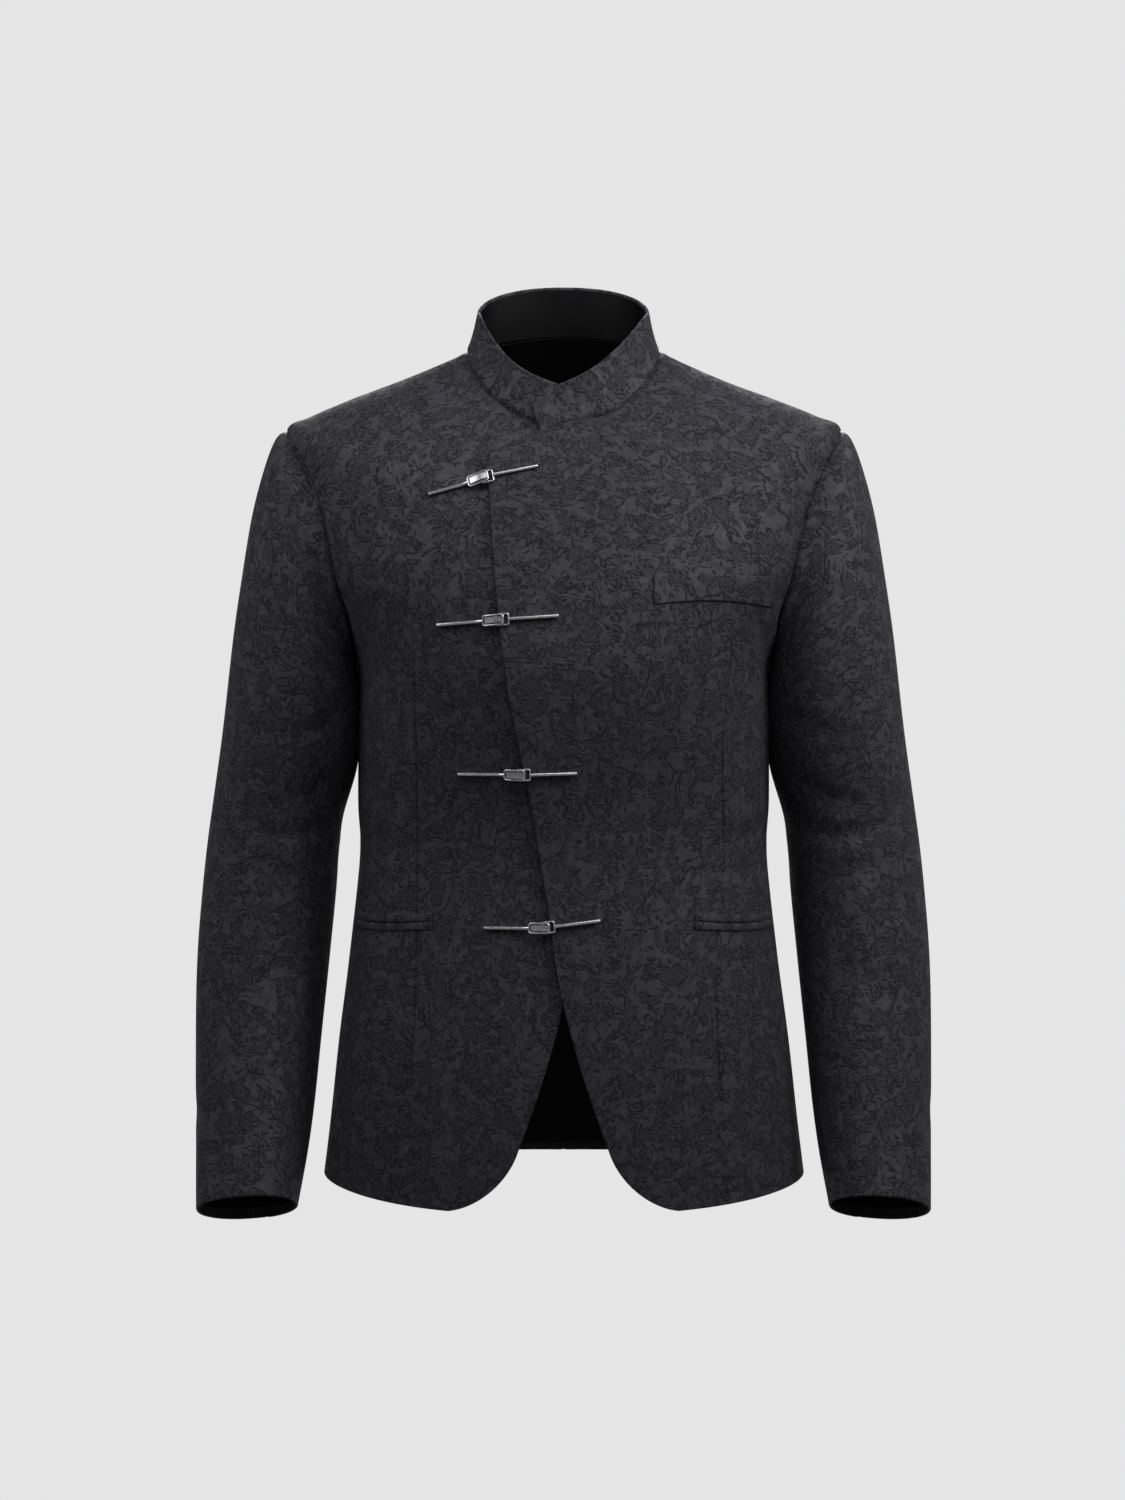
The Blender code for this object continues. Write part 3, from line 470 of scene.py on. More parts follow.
def laid_flat(points: Array, spacing: float = 11.0, rounds: int = 500, haste: float = 1.4) -> Array:
    """Lays a grid of points out flat, so that neighbours keep their distances as well as flat cloth can.

    Args:
        points: The grid of points.
        spacing: The distance between the few points that are moved, in millimetres.
        rounds: How often they are moved.
        haste: How far past the mean of its ties a point moves.

    Returns:
        Two flat coordinates for each point, across and up, in millimetres.
    """
    runs = []
    for axis in (0, 1):
        steps = np.linalg.norm(np.diff(points, axis=axis), axis=-1).mean(axis=1 - axis)
        runs.append(added_up(steps))
    nodes = [np.linspace(0, run[-1], max(int(run[-1] / spacing), 2) + 1) for run in runs]
    picked = [np.interp(node, run, np.arange(len(run))) for node, run in zip(nodes, runs)]
    coarse = resampled(points, *picked)
    middle = coarse.shape[1] // 2
    across = run_lengths(coarse, 1)
    across = across - across[:, middle : middle + 1]
    up = run_lengths(coarse[:, middle], 0)[:, None]
    flat = np.stack([across, np.broadcast_to(up, across.shape)], axis=-1)
    whole = slice(None)
    first = slice(None, -1)
    later = slice(1, None)
    ties = [((whole, first), (whole, later)), ((first, whole), (later, whole))]
    ties += [((first, first), (later, later)), ((first, later), (later, first))]
    lengths = [np.linalg.norm(coarse[b] - coarse[a], axis=-1) for a, b in ties]
    for _ in range(rounds):
        moved = np.zeros_like(flat)
        count = np.zeros(flat.shape[:2] + (1,))
        for (a, b), length in zip(ties, lengths):
            gap = flat[b] - flat[a]
            away = np.maximum(np.linalg.norm(gap, axis=-1), 1e-6)
            push = gap * ((away - length) / away / 2)[..., None]
            moved[a] += push
            moved[b] -= push
            count[a] += 1
            count[b] += 1
        flat = flat + haste * moved / count
    back = [np.interp(run, node, np.arange(len(node))) for node, run in zip(nodes, runs)]
    return resampled(flat, *back)


def crease_relief(flat: Array, creases: list[Crease]) -> Array:
    """How far creases raise or sink the places of a flat map.

    Args:
        flat: Map coordinates, two to a place.
        creases: The creases on that map.

    Returns:
        One height for each place, in millimetres.
    """
    total = np.zeros(flat.shape[:-1])
    for crease in creases:
        nearest = np.full(total.shape, 1e9)
        along = np.zeros(total.shape)
        points = np.array(crease.line, float)
        steps = np.linalg.norm(np.diff(points, axis=0), axis=1)
        ends = added_up(steps) / steps.sum()
        for k, (a, b) in enumerate(zip(points, points[1:])):
            share = np.clip((flat - a) @ (b - a) / ((b - a) @ (b - a)), 0, 1)
            away = np.linalg.norm(flat - a - share[..., None] * (b - a), axis=-1)
            closer = away < nearest
            nearest = np.where(closer, away, nearest)
            along = np.where(closer, ends[k] + (ends[k + 1] - ends[k]) * share, along)
        fade = CREASE_LEAST + (1 - CREASE_LEAST) * np.sin(math.pi * np.clip(along, 0, 1)) ** CREASE_POWER
        total += crease.height * fade * np.exp(-((nearest / crease.half_width) ** 2))
    return total


@dataclass(frozen=True)
class BodyForm:
    """The worn form of the blazer's body: places on it are (level, turn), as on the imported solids."""

    rings: Array = field(default_factory=lambda: np.array(GIRTHS, float))
    armhole_reach: float = 62.0
    side_seam_lean: float = 14.0
    hem_round_from: float = -705.7
    hem_round_height: float = 47.0
    hem_round_width: float = 44.5
    corner_x: float = -61.0
    corner_z: float = -94.0
    hidden_corner_rise: float = 24.0
    hidden_top_x: float = -1.0
    collar_end_x: float = -19.5
    collar_under_end_x: float = -4.0
    neck_dip_from_x: float = 6.0
    neck_dip: float = 0.38
    lift: float = 4.4
    neck_lift: float = 0.8
    neck_lift_from_z: float = -125.0
    neck_lift_rise: float = 45.0
    overlap_full: float = 13.0
    overlap_fade: float = 36.0
    neck_columns: float = 10 / 14
    slope_step: float = 0.03
    halvings: int = 30
    back_from_y: float = -20.0
    back_fade: float = 40.0
    deep_wave: Wave = Wave(0.2, 23, 1, 0)
    skirt_wave: Wave = Wave(0.6, 24, 1, 0.8)
    skirt_from_z: float = -430.0
    skirt_fade: float = 200.0
    skirt_from_x: float = 40.0
    skirt_fade_x: float = 60.0

    @staticmethod
    def on_ring(girth: Array, turn: Array) -> Array:
        """The points of girth rings.

        Args:
            girth: One ring, or one for each angle.
            turn: The angles, from the wearer's left by the front.

        Returns:
            One point for each angle.
        """
        half_width, depth_front, depth_back, square, z_side, z_front, z_back, dip = np.moveaxis(girth, -1, 0)
        c = np.cos(turn)
        s = np.sin(turn)
        across = np.abs(s) ** (2 / square)
        x = half_width * np.copysign(np.abs(c) ** (2 / square), c)
        depth = np.where(s >= 0, depth_front, depth_back)
        z_mid = np.where(s >= 0, z_front, z_back)
        z = z_side + (z_mid - z_side) * across**dip
        return np.stack([x, -np.copysign(depth * across, s), z], axis=-1)

    def point(self, level: Array, turn: Array) -> Array:
        """Points of the outer surface."""
        level, turn = np.broadcast_arrays(np.asarray(level, float), np.asarray(turn, float))
        return self.on_ring(between(self.rings, level), turn)

    def normal(self, level: Array, turn: Array) -> Array:
        """Directions straight out of the outer surface.

        Args:
            level: Places up the rings.
            turn: Angles round them.

        Returns:
            A unit vector for each place.
        """
        level, turn = np.broadcast_arrays(np.asarray(level, float), np.asarray(turn, float))
        step = self.slope_step
        up = self.point(np.minimum(level + step, NECK), turn) - self.point(np.maximum(level - step, 0), turn)
        round_it = self.point(level, turn + step) - self.point(level, turn - step)
        out = np.cross(up, round_it)
        away = np.stack([np.cos(turn), -np.sin(turn), np.full(turn.shape, 0.3)], axis=-1)
        return unit(out * np.where((out * away).sum(-1) > 0, 1.0, -1.0)[..., None])

    def laid(self, level: Array, turn: Array, side: Side, off: Array | float, lifted: bool) -> Pair:
        """Points off the creased cloth of one side.

        Args:
            level: Places up the rings.
            turn: Angles round them, as on the left side.
            side: The side of the wearer.
            off: The distance from the cloth.
            lifted: Whether the cloth there is the left front, which lies on the right one.

        Returns:
            The points, and the directions straight out of the cloth.
        """
        points = self.point(level, turn) * side.across
        normals = self.normal(level, turn) * side.across
        height = self.relief(points) + (self.overlap(points) if lifted else 0.0) + off
        return points + normals * height[..., None], normals

    def turn_at_x(self, level: Array, x: Array) -> Array:
        """The turn on the front half of a ring where it has this x."""
        girth = between(self.rings, level)
        share = np.minimum(np.abs(x) / girth[..., 0], 1.0) ** (girth[..., 3] / 2)
        return np.arccos(np.copysign(share, x))

    def turn_at_y(self, level: Array, y: Array) -> Array:
        """The turn near the left side of a ring where it has this y."""
        girth = between(self.rings, level)
        depth = np.where(y < 0, girth[..., 1], girth[..., 2])
        return -np.copysign(np.arcsin(np.minimum(np.abs(y) / depth, 1.0) ** (girth[..., 3] / 2)), y)

    def place_at(self, x: Array, z: Array) -> Pair:
        """Finds where the front shows x and z in front view.

        Args:
            x: Distances to the wearer's left.
            z: Heights.

        Returns:
            The level and the turn of each place.
        """
        x, z = np.broadcast_arrays(np.asarray(x, float), np.asarray(z, float))
        level = self.halved(z, NECK, lambda level: self.turn_at_x(level, x))
        return level, self.turn_at_x(level, x)

    def halved(self, z: Array, top: float, turn_on: Callable[[Array], Array]) -> Array:
        """Closes in on the level at which the body has a height.

        Args:
            z: The heights.
            top: The highest level.
            turn_on: Gives the turn on each level.

        Returns:
            The level of each height.
        """
        low = np.zeros(z.shape)
        high = np.full(z.shape, float(top))
        for _ in range(self.halvings):
            level = (low + high) / 2
            below = self.point(level, turn_on(level))[..., 2] < z
            low = np.where(below, level, low)
            high = np.where(below, high, level)
        return level

    def level_at_height(self, turn: Array, z: Array) -> Array:
        """The level below the underarm at which the body has height z on a given turn."""
        return self.halved(z, UNDERARM, lambda level: turn)

    def front_edge_x(self, z: Array) -> Array:
        """Where the edge of the left front lies at a height, with the rounded corner at the hem."""
        up = np.clip((z - self.hem_round_from) / self.hem_round_height, 0, 1)
        return smooth_table(FRONT_EDGE, z) + self.hem_round_width * (1 - np.sqrt(1 - (1 - up) ** 2))

    def hidden_edge_x(self, z: Array) -> Array:
        """Where the edge of the right front lies under the left one, at a height."""
        up = ease((z - self.corner_z) / self.hidden_corner_rise)
        above = -self.corner_x + (self.hidden_top_x + self.corner_x) * up
        return np.where(z <= self.corner_z, -self.front_edge_x(z), above)

    def overlap(self, points: Array) -> Array:
        """How far the left front is lifted to lie on the right one."""
        x = points[..., 0]
        z = points[..., 2]
        lift = self.lift + self.neck_lift * ease((z - self.neck_lift_from_z) / self.neck_lift_rise)
        last_x = self.hidden_edge_x(z) + self.overlap_full + self.overlap_fade
        return lift * ease((last_x - x) / self.overlap_fade)

    def edge_turn(self, level: Array) -> Array:
        """The turn of the left front's edge on a level."""
        return self.line_turn(level, self.front_edge_x)

    def line_turn(self, level: Array, x_at: Callable[[Array], Array]) -> Array:
        """Finds a line of the front that is known in front view.

        Args:
            level: Places up the rings.
            x_at: Gives the line's x at heights.

        Returns:
            The line's turn on each level.
        """
        z = between(self.rings, level)[..., 5]
        for _ in range(5):
            z = self.point(level, self.turn_at_x(level, x_at(z)))[..., 2]
        return self.turn_at_x(level, x_at(z))

    def outer_turn(self, level: Array, side: int) -> Array:
        """Finds a panel's outer edge: the side seam, the armhole or the shoulder seam.

        Args:
            level: Places up the rings.
            side: 1 on a front and -1 on a back.

        Returns:
            The edge's turn on each level.
        """
        lean = self.side_seam_lean * np.maximum(1 - level / UNDERARM, 0)
        low = self.turn_at_y(np.minimum(level, UNDERARM), lean)
        down = np.clip((SHOULDER_POINT - level) / (SHOULDER_POINT - UNDERARM), 0, 1)
        reach = self.armhole_reach * np.sqrt(np.maximum(1 - (1 - 2 * down) ** 2, 0))
        middle = self.turn_at_y(np.clip(level, UNDERARM, SHOULDER_POINT), -side * reach)
        return np.where(level >= SHOULDER_POINT, 0.0, np.where(level <= UNDERARM, low, middle))

    def armhole(self, step: Array) -> tuple[Array, Array, Array]:
        """Follows the left armhole.

        Args:
            step: Steps round it, from the shoulder point by the front.

        Returns:
            The points, the body's normals, and the directions from the body's panel into the sleeve.
        """
        angle = 2 * math.pi * np.asarray(step, float) / SLEEVE_TURNS

        def place(at: Array) -> Pair:
            """The level and turn at angles round the armhole."""
            level = SHOULDER_POINT - (SHOULDER_POINT - UNDERARM) * (1 - np.cos(at)) / 2
            return level, self.turn_at_y(level, -self.armhole_reach * np.sin(at))

        here = self.point(*place(angle))
        normal = self.normal(*place(angle))
        along = self.point(*place(angle + self.slope_step)) - self.point(*place(angle - self.slope_step))
        return here, normal, unit(np.cross(normal, along))

    def collar_end_turn(self, over: bool) -> float:
        """Where the collar ends on the neck ring, on the half that laps over or the one under it."""
        x = self.collar_end_x if over else self.collar_under_end_x
        return float(self.turn_at_x(np.array(float(NECK)), np.array(x)))

    def front_top(self, share: Array, over: bool) -> Pair:
        """Follows a front's top: the neck seam, then the short edge to the corner.

        Args:
            share: Shares of the front's width.
            over: Whether it is the front that lies on top.

        Returns:
            The levels and turns.
        """
        seam = self.point(NECK, self.collar_end_turn(over) * np.minimum(share / self.neck_columns, 1.0))
        dip = self.neck_dip if over else 0.0
        seam_z = seam[..., 2] - dip * np.maximum(self.neck_dip_from_x - seam[..., 0], 0)
        f = np.maximum(share - self.neck_columns, 0) / (1 - self.neck_columns)
        x = seam[..., 0] + (self.corner_x - seam[..., 0]) * f
        level, turn = self.place_at(x, seam_z + (self.corner_z - seam_z) * f)
        flat = (share <= self.neck_columns) & (seam_z >= seam[..., 2])
        seam_turn = self.collar_end_turn(over) * share / self.neck_columns
        return np.where(flat, float(NECK), level), np.where(flat, seam_turn, turn)

    def relief(self, points: Array) -> Array:
        """The creases and slow waves of the cloth.

        Args:
            points: Points of the body.

        Returns:
            The height at each point, along the body's normal.
        """
        flat = points[..., [0, 2]]
        x, y, z = np.moveaxis(points, -1, 0)
        behind = ease((y - self.back_from_y) / self.back_fade)
        front = crease_relief(flat, FRONT_CREASES)
        back = crease_relief(flat, BACK_CREASES)
        slow = waver(x, z, BODY_WAVES) + waver(y, 0.0, (self.deep_wave,))
        low = ease((self.skirt_from_z - z) / self.skirt_fade)
        low = low * ease((np.abs(x) - self.skirt_from_x) / self.skirt_fade_x)
        return front * (1 - behind) + back * behind + slow + low * waver(x, 0.0, (self.skirt_wave,))


@dataclass
class Cut:
    """The flat size that a panel was cut to, in metres, the share of it that it fills, and how it is held."""

    width: float
    length: float
    share: float
    held: str
    rests_on: list[str]


@dataclass
class ClothPanel:
    """A cut panel of cloth with a thickness: seam valleys on sewn edges and a round fold on turned ones.

    Points and normals are grids with rows and columns; widths and depths are in millimetres.
    """

    name: str
    outer: Array
    normals: Array
    cloth: float
    turned: dict[Edge, Array | float] = field(default_factory=dict)
    facing: dict[Edge, float] = field(default_factory=dict)
    facing_everywhere: bool = False
    fine: tuple[Edge, ...] = ()
    seam_depth: float = 1.0
    fine_depth: float = 0.25
    seam_width: float = 1.5
    seam_puff: float = 0.35
    puff_at: float = 4.5
    puff_width: float = 2.6
    seam_lap: float = 0.06
    edge_reach: float = 9.0
    rim_steps: int = 6
    least_pull: float = 0.001
    uv_sign: float = 1.0
    uv_from: tuple[float, float] = (0.0, 0.0)

    def distances(self) -> dict[Edge, Array]:
        """The distance of each grid point from each edge, along its row or column."""
        across = run_lengths(self.outer, 1)
        along = run_lengths(self.outer, 0)
        return {
            Edge.FIRST_COLUMN: across,
            Edge.LAST_COLUMN: across[:, -1:] - across,
            Edge.FIRST_ROW: along,
            Edge.LAST_ROW: along[-1:, :] - along,
        }

    def inwards(self) -> dict[Edge, Array]:
        """The direction into the panel, for each grid point, as seen from each edge."""
        across = unit(np.gradient(self.outer, axis=1))
        along = unit(np.gradient(self.outer, axis=0))
        return {
            Edge.FIRST_COLUMN: across,
            Edge.LAST_COLUMN: -across,
            Edge.FIRST_ROW: along,
            Edge.LAST_ROW: -along,
        }

    def roundness(self, edge: Edge) -> Array:
        """1 where an edge is turned and 0 where it is sewn, for each grid point that faces it."""
        share = np.asarray(self.turned.get(edge, 0.0), float)
        if edge in (Edge.FIRST_ROW, Edge.LAST_ROW):
            return np.broadcast_to(share, self.outer.shape[1:2])[None, :]
        return np.broadcast_to(share, self.outer.shape[:1])[:, None]

    def shaped(self) -> Pair:
        """The outer and inner points, with the seam valleys sunk and the edges drawn in."""
        outer = self.outer.copy()
        inner = self.outer - self.cloth * self.normals
        inwards = self.inwards()
        for edge, away in self.distances().items():
            turned = self.roundness(edge)
            share = self.fine_depth if edge in self.fine else self.seam_depth
            valley = share * np.exp(-((away / self.seam_width) ** 2))
            valley -= share * self.seam_puff * np.exp(-(((away - self.puff_at) / self.puff_width) ** 2))
            outer = outer - ((1 - turned) * valley)[..., None] * self.normals
            drawn = turned * self.cloth / 2 - (1 - turned) * self.seam_lap
            drawn = (drawn * np.clip(1 - away / self.edge_reach, 0, 1))[..., None] * inwards[edge]
            outer = outer + drawn
            inner = inner + drawn
        return outer, inner

    def rim(self) -> list[tuple[int, int]]:
        """The grid's border, once round it."""
        rows, columns = self.outer.shape[:2]
        border = [(0, c) for c in range(columns)]
        border += [(r, columns - 1) for r in range(1, rows)]
        border += [(rows - 1, c) for c in range(columns - 2, -1, -1)]
        return border + [(r, 0) for r in range(rows - 2, 0, -1)]

    def rim_bulge(self) -> Pair:
        """For each point of the border, the direction out of the panel and how round the edge is there."""
        rows, columns = self.outer.shape[:2]
        inwards = self.inwards()
        round_at = {edge: np.broadcast_to(self.roundness(edge), (rows, columns)) for edge in Edge}
        directions = []
        rounds = []
        for r, c in self.rim():
            met = {
                Edge.FIRST_ROW: r == 0,
                Edge.LAST_ROW: r == rows - 1,
                Edge.FIRST_COLUMN: c == 0,
                Edge.LAST_COLUMN: c == columns - 1,
            }
            here = [edge for edge, on in met.items() if on]
            full = {edge: round_at[edge][r, c] for edge in here}
            pull = -sum((full[edge] + self.least_pull) * inwards[edge][r, c] for edge in here)
            directions.append(pull)
            rounds.append(max(full.values()) * min(float(np.linalg.norm(pull)), 1.0))
        return unit(np.array(directions)), np.array(rounds)

    def flat_map(self) -> Array:
        """The cloth's own flat coordinates, in metres."""
        flat = laid_flat(self.outer) * np.array([self.uv_sign, 1.0])
        return flat * MM + np.array(self.uv_from)

    def facing_mask(self) -> Array:
        """Where the inside shows the jacquard instead of the lining, for each quad of the grid."""
        away = self.distances()
        near = np.full(self.outer.shape[:2], self.facing_everywhere)
        for edge, width in self.facing.items():
            near |= away[edge] < width
        return near[:-1, :-1] & near[1:, 1:]

    def build(self, outside: Material, inside: Material) -> Piece:
        """Makes the panel's mesh object.

        Args:
            outside: The cloth's material.
            inside: The lining's material.

        Returns:
            The panel, a closed shell at the origin.
        """
        rows, columns = self.outer.shape[:2]
        outer, inner = self.shaped()
        border = np.array(self.rim())
        index = np.arange(rows * columns).reshape(rows, columns)
        rim_out = outer[border[:, 0], border[:, 1]]
        rim_in = inner[border[:, 0], border[:, 1]]
        out, bulge = self.rim_bulge()
        half = np.linalg.norm(rim_out - rim_in, axis=1) / 2
        rings = [index[border[:, 0], border[:, 1]]]
        points = [outer.reshape(-1, 3), inner.reshape(-1, 3)]
        total = 2 * rows * columns
        for k in range(1, self.rim_steps):
            angle = math.pi * k / self.rim_steps
            swell = (bulge * half * math.sin(angle))[:, None] * out
            points.append((rim_out + rim_in) / 2 + (rim_out - rim_in) / 2 * math.cos(angle) + swell)
            rings.append(np.arange(total, total + len(border)))
            total += len(border)
        rings.append(rings[0] + rows * columns)
        quads = [self.quads(index), self.quads(index + rows * columns)[:, ::-1]]
        for near, far in zip(rings, rings[1:]):
            quads.append(np.stack([np.roll(near, -1), near, far, np.roll(far, -1)], axis=1))
        points = np.concatenate(points)
        flat = self.flat_map()
        rim_flat = flat[border[:, 0], border[:, 1]]
        flat = np.concatenate([flat.reshape(-1, 2)] * 2 + [rim_flat] * (self.rim_steps - 1))
        faces = np.concatenate(quads)
        middle = faces[len(quads[0]) // 2]
        a, b, _, d = points[middle]
        if np.cross(b - a, d - a) @ self.normals.reshape(-1, 3)[middle[0]] < 0:
            faces = faces[:, ::-1]
        lined = np.zeros(len(faces), int)
        lined[len(quads[0]) : 2 * len(quads[0])] = np.where(self.facing_mask().ravel(), 0, 1)
        return mesh_object(self.name, points, faces, [outside, inside], lined, flat)

    @staticmethod
    def quads(index: Array) -> Array:
        """The quads of a grid of vertex numbers."""
        corners = (index[:-1, :-1], index[:-1, 1:], index[1:, 1:], index[1:, :-1])
        return np.stack([corner.ravel() for corner in corners], axis=1)


def mesh_object(
    name: str,
    points: Array,
    faces: Array | Faces,
    materials: list[Material],
    slots: Array,
    flat: Array | None = None,
    sharp: float = 50.0,
) -> Piece:
    """Makes a mesh object at the origin.

    Args:
        name: The piece's name.
        points: Its vertices in millimetres.
        faces: Vertex numbers of each face.
        materials: Its materials.
        slots: The material's number for each face.
        flat: UV coordinates for each vertex.
        sharp: Edges that bend by more than this many degrees stay sharp.

    Returns:
        The object, linked to the scene.
    """
    mesh = bpy.data.meshes.new(name)
    mesh.from_pydata((points * MM).tolist(), [], faces.tolist() if isinstance(faces, Array) else faces)
    for material in materials:
        mesh.materials.append(material)
    mesh.polygons.foreach_set("material_index", np.asarray(slots, np.int32))
    if flat is not None:
        corners = np.zeros(len(mesh.loops), np.int32)
        mesh.loops.foreach_get("vertex_index", corners)
        layer = mesh.uv_layers.new(name="cloth")
        layer.data.foreach_set("uv", flat[corners].astype(np.float32).ravel())
    mesh.shade_smooth()
    mesh.set_sharp_from_angle(angle=math.radians(sharp))
    mesh.update()
    made = bpy.data.objects.new(name, mesh)
    bpy.context.scene.collection.objects.link(made)
    return made


def place_piece(piece: Piece, slot: str, nodes: list[str]) -> Piece:
    """Makes a piece ride on the garment's one body, in place of its solids.

    Args:
        piece: The finished piece.
        slot: The record's material slot.
        nodes: The CAD nodes that it stands for.

    Returns:
        The same piece.
    """
    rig.ride(piece, "root")
    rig.slot(piece, slot)
    if nodes:
        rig.replaces(piece, *nodes)
    LOG.info("%s: %d faces", piece.name, len(piece.data.polygons))
    return piece


class Term:
    """A number, vector or colour in a node tree, with plain arithmetic on it."""

    def __init__(self, graph: "Graph", socket: Socket) -> None:
        """Takes the graph, and the socket that carries the value."""
        self.graph = graph
        self.socket = socket

    def math(self, operation: str, *others: "Input", clamp: bool = False) -> "Term":
        """A Math node's result for this number and others."""
        return self.graph.math(operation, self, *others, clamp=clamp)

    def __add__(self, other: "Input") -> "Term":
        """The sum."""
        return self.math("ADD", other)

    def __sub__(self, other: "Input") -> "Term":
        """The difference."""
        return self.math("SUBTRACT", other)

    def __rsub__(self, other: float) -> "Term":
        """A plain number less this one."""
        return self.graph.math("SUBTRACT", other, self)

    def __mul__(self, other: "Input") -> "Term":
        """The product."""
        return self.math("MULTIPLY", other)

    def __truediv__(self, other: "Input") -> "Term":
        """The quotient."""
        return self.math("DIVIDE", other)

    def __pow__(self, power: float) -> "Term":
        """The power."""
        return self.math("POWER", power)

    def __abs__(self) -> "Term":
        """The number without its sign."""
        return self.math("ABSOLUTE")

    def __or__(self, other: "Term") -> "Term":
        """The larger of two masks."""
        return self.math("MAXIMUM", other)

    def __gt__(self, limit: float) -> "Term":
        """1 where the number is over the limit."""
        return self.math("GREATER_THAN", limit)

    def __lt__(self, limit: float) -> "Term":
        """1 where the number is under the limit."""
        return self.math("LESS_THAN", limit)

    def sine(self) -> "Term":
        """The sine."""
        return self.math("SINE")

    def cosine(self) -> "Term":
        """The cosine."""
        return self.math("COSINE")

    def fit(self, gain: "Input", base: "Input", clamp: bool = False) -> "Term":
        """The number times a gain, plus a base."""
        return self.math("MULTIPLY_ADD", gain, base, clamp=clamp)

    def within(self, soft: float) -> "Term":
        """1 where a signed distance is negative, 0 where it is positive, soft between."""
        return self.fit(-1 / soft, 0.5, clamp=True)

    def noise(self, over: float, detail: float = 1.0, output: str = "Fac") -> "Term":
        """A flat noise at this place, whose patches are about this many millimetres across."""
        inputs = {"Vector": self, "Scale": 1 / over, "Detail": detail}
        return self.graph.take("ShaderNodeTexNoise", output, {"noise_dimensions": "2D"}, inputs)


Input = Term | Socket | float | tuple


class Graph:
    """Writes the nodes of a material or node group."""

    def __init__(self, tree: bpy.types.NodeTree) -> None:
        """Takes the tree that the nodes go into."""
        self.tree = tree

    def node(self, kind: str, settings: dict | None = None, inputs: dict | None = None) -> bpy.types.Node:
        """Adds a node.

        Args:
            kind: The node's type.
            settings: Its properties by name.
            inputs: Values, terms or sockets for its inputs, by name or number.

        Returns:
            The node.
        """
        made = self.tree.nodes.new(kind)
        for name, value in (settings or {}).items():
            setattr(made, name, value)
        for name, value in (inputs or {}).items():
            self.feed(made.inputs[name], value)
        return made

    def feed(self, socket: Socket, value: Input) -> None:
        """Links a socket to an input, or sets the input's value."""
        if isinstance(value, Term):
            value = value.socket
        if isinstance(value, Socket):
            self.tree.links.new(value, socket)
        else:
            socket.default_value = value

    def outputs(self, kind: str, settings: dict | None = None, inputs: dict | None = None) -> dict[str, Term]:
        """Adds a node and gives its outputs by name."""
        return {socket.name: Term(self, socket) for socket in self.node(kind, settings, inputs).outputs}

    def take(
        self, kind: str, output: str | int, settings: dict | None = None, inputs: dict | None = None
    ) -> Term:
        """Adds a node and gives one of its outputs."""
        return Term(self, self.node(kind, settings, inputs).outputs[output])

    def math(self, operation: str, *values: Input, clamp: bool = False) -> Term:
        """A Math node's result."""
        settings = {"operation": operation, "use_clamp": clamp}
        return self.take("ShaderNodeMath", 0, settings, dict(enumerate(values)))

    def vector(self, operation: str, *values: Input) -> Term:
        """A Vector Math node's vector result, or its number for a length."""
        output = "Value" if operation == "LENGTH" else "Vector"
        return self.take("ShaderNodeVectorMath", output, {"operation": operation}, dict(enumerate(values)))

    def scaled(self, vector: Input, factor: Input) -> Term:
        """A vector times a number."""
        inputs = {0: vector, "Scale": factor}
        return self.take("ShaderNodeVectorMath", "Vector", {"operation": "SCALE"}, inputs)

    def parts(self, vector: Term) -> list[Term]:
        """The three coordinates of a vector."""
        return list(self.outputs("ShaderNodeSeparateXYZ", inputs={0: vector}).values())

    def mix_colour(self, share: Input, dark: Input, light: Input, blend: str = "MIX") -> Term:
        """A colour between two colours, or one times the other."""
        settings = {"data_type": "RGBA", "blend_type": blend}
        return self.take("ShaderNodeMix", 2, settings, {"Factor": share, 6: dark, 7: light})

    def mix_value(self, share: Input, low: float, high: float) -> Term:
        """A number between two numbers."""
        return self.take("ShaderNodeMix", 0, {"data_type": "FLOAT"}, {"Factor": share, 2: low, 3: high})

    def arrange(self) -> bpy.types.NodeTree:
        """Sets the nodes out in columns, so that the tree can be read in the editor, and returns the tree."""
        for i, node in enumerate(self.tree.nodes):
            node.location = (220 * (i // 8), -180 * (i % 8))
        return self.tree


class Group(Graph):
    """A shader node group with named inputs and outputs."""

    def __init__(self, name: str, inputs: dict[str, tuple], outputs: dict[str, str]) -> None:
        """Starts the group.

        Args:
            name: The group's name.
            inputs: Socket type and default value by name.
            outputs: Socket type by name.
        """
        super().__init__(bpy.data.node_groups.new(name, "ShaderNodeTree"))
        for label, (kind, value) in inputs.items():
            socket = self.tree.interface.new_socket(label, in_out="INPUT", socket_type=kind)
            if value is not None:
                socket.default_value = value
        for label, kind in outputs.items():
            self.tree.interface.new_socket(label, in_out="OUTPUT", socket_type=kind)
        into = self.node("NodeGroupInput").outputs
        self.given = {label: Term(self, into[label]) for label in inputs}
        self.results = self.node("NodeGroupOutput").inputs


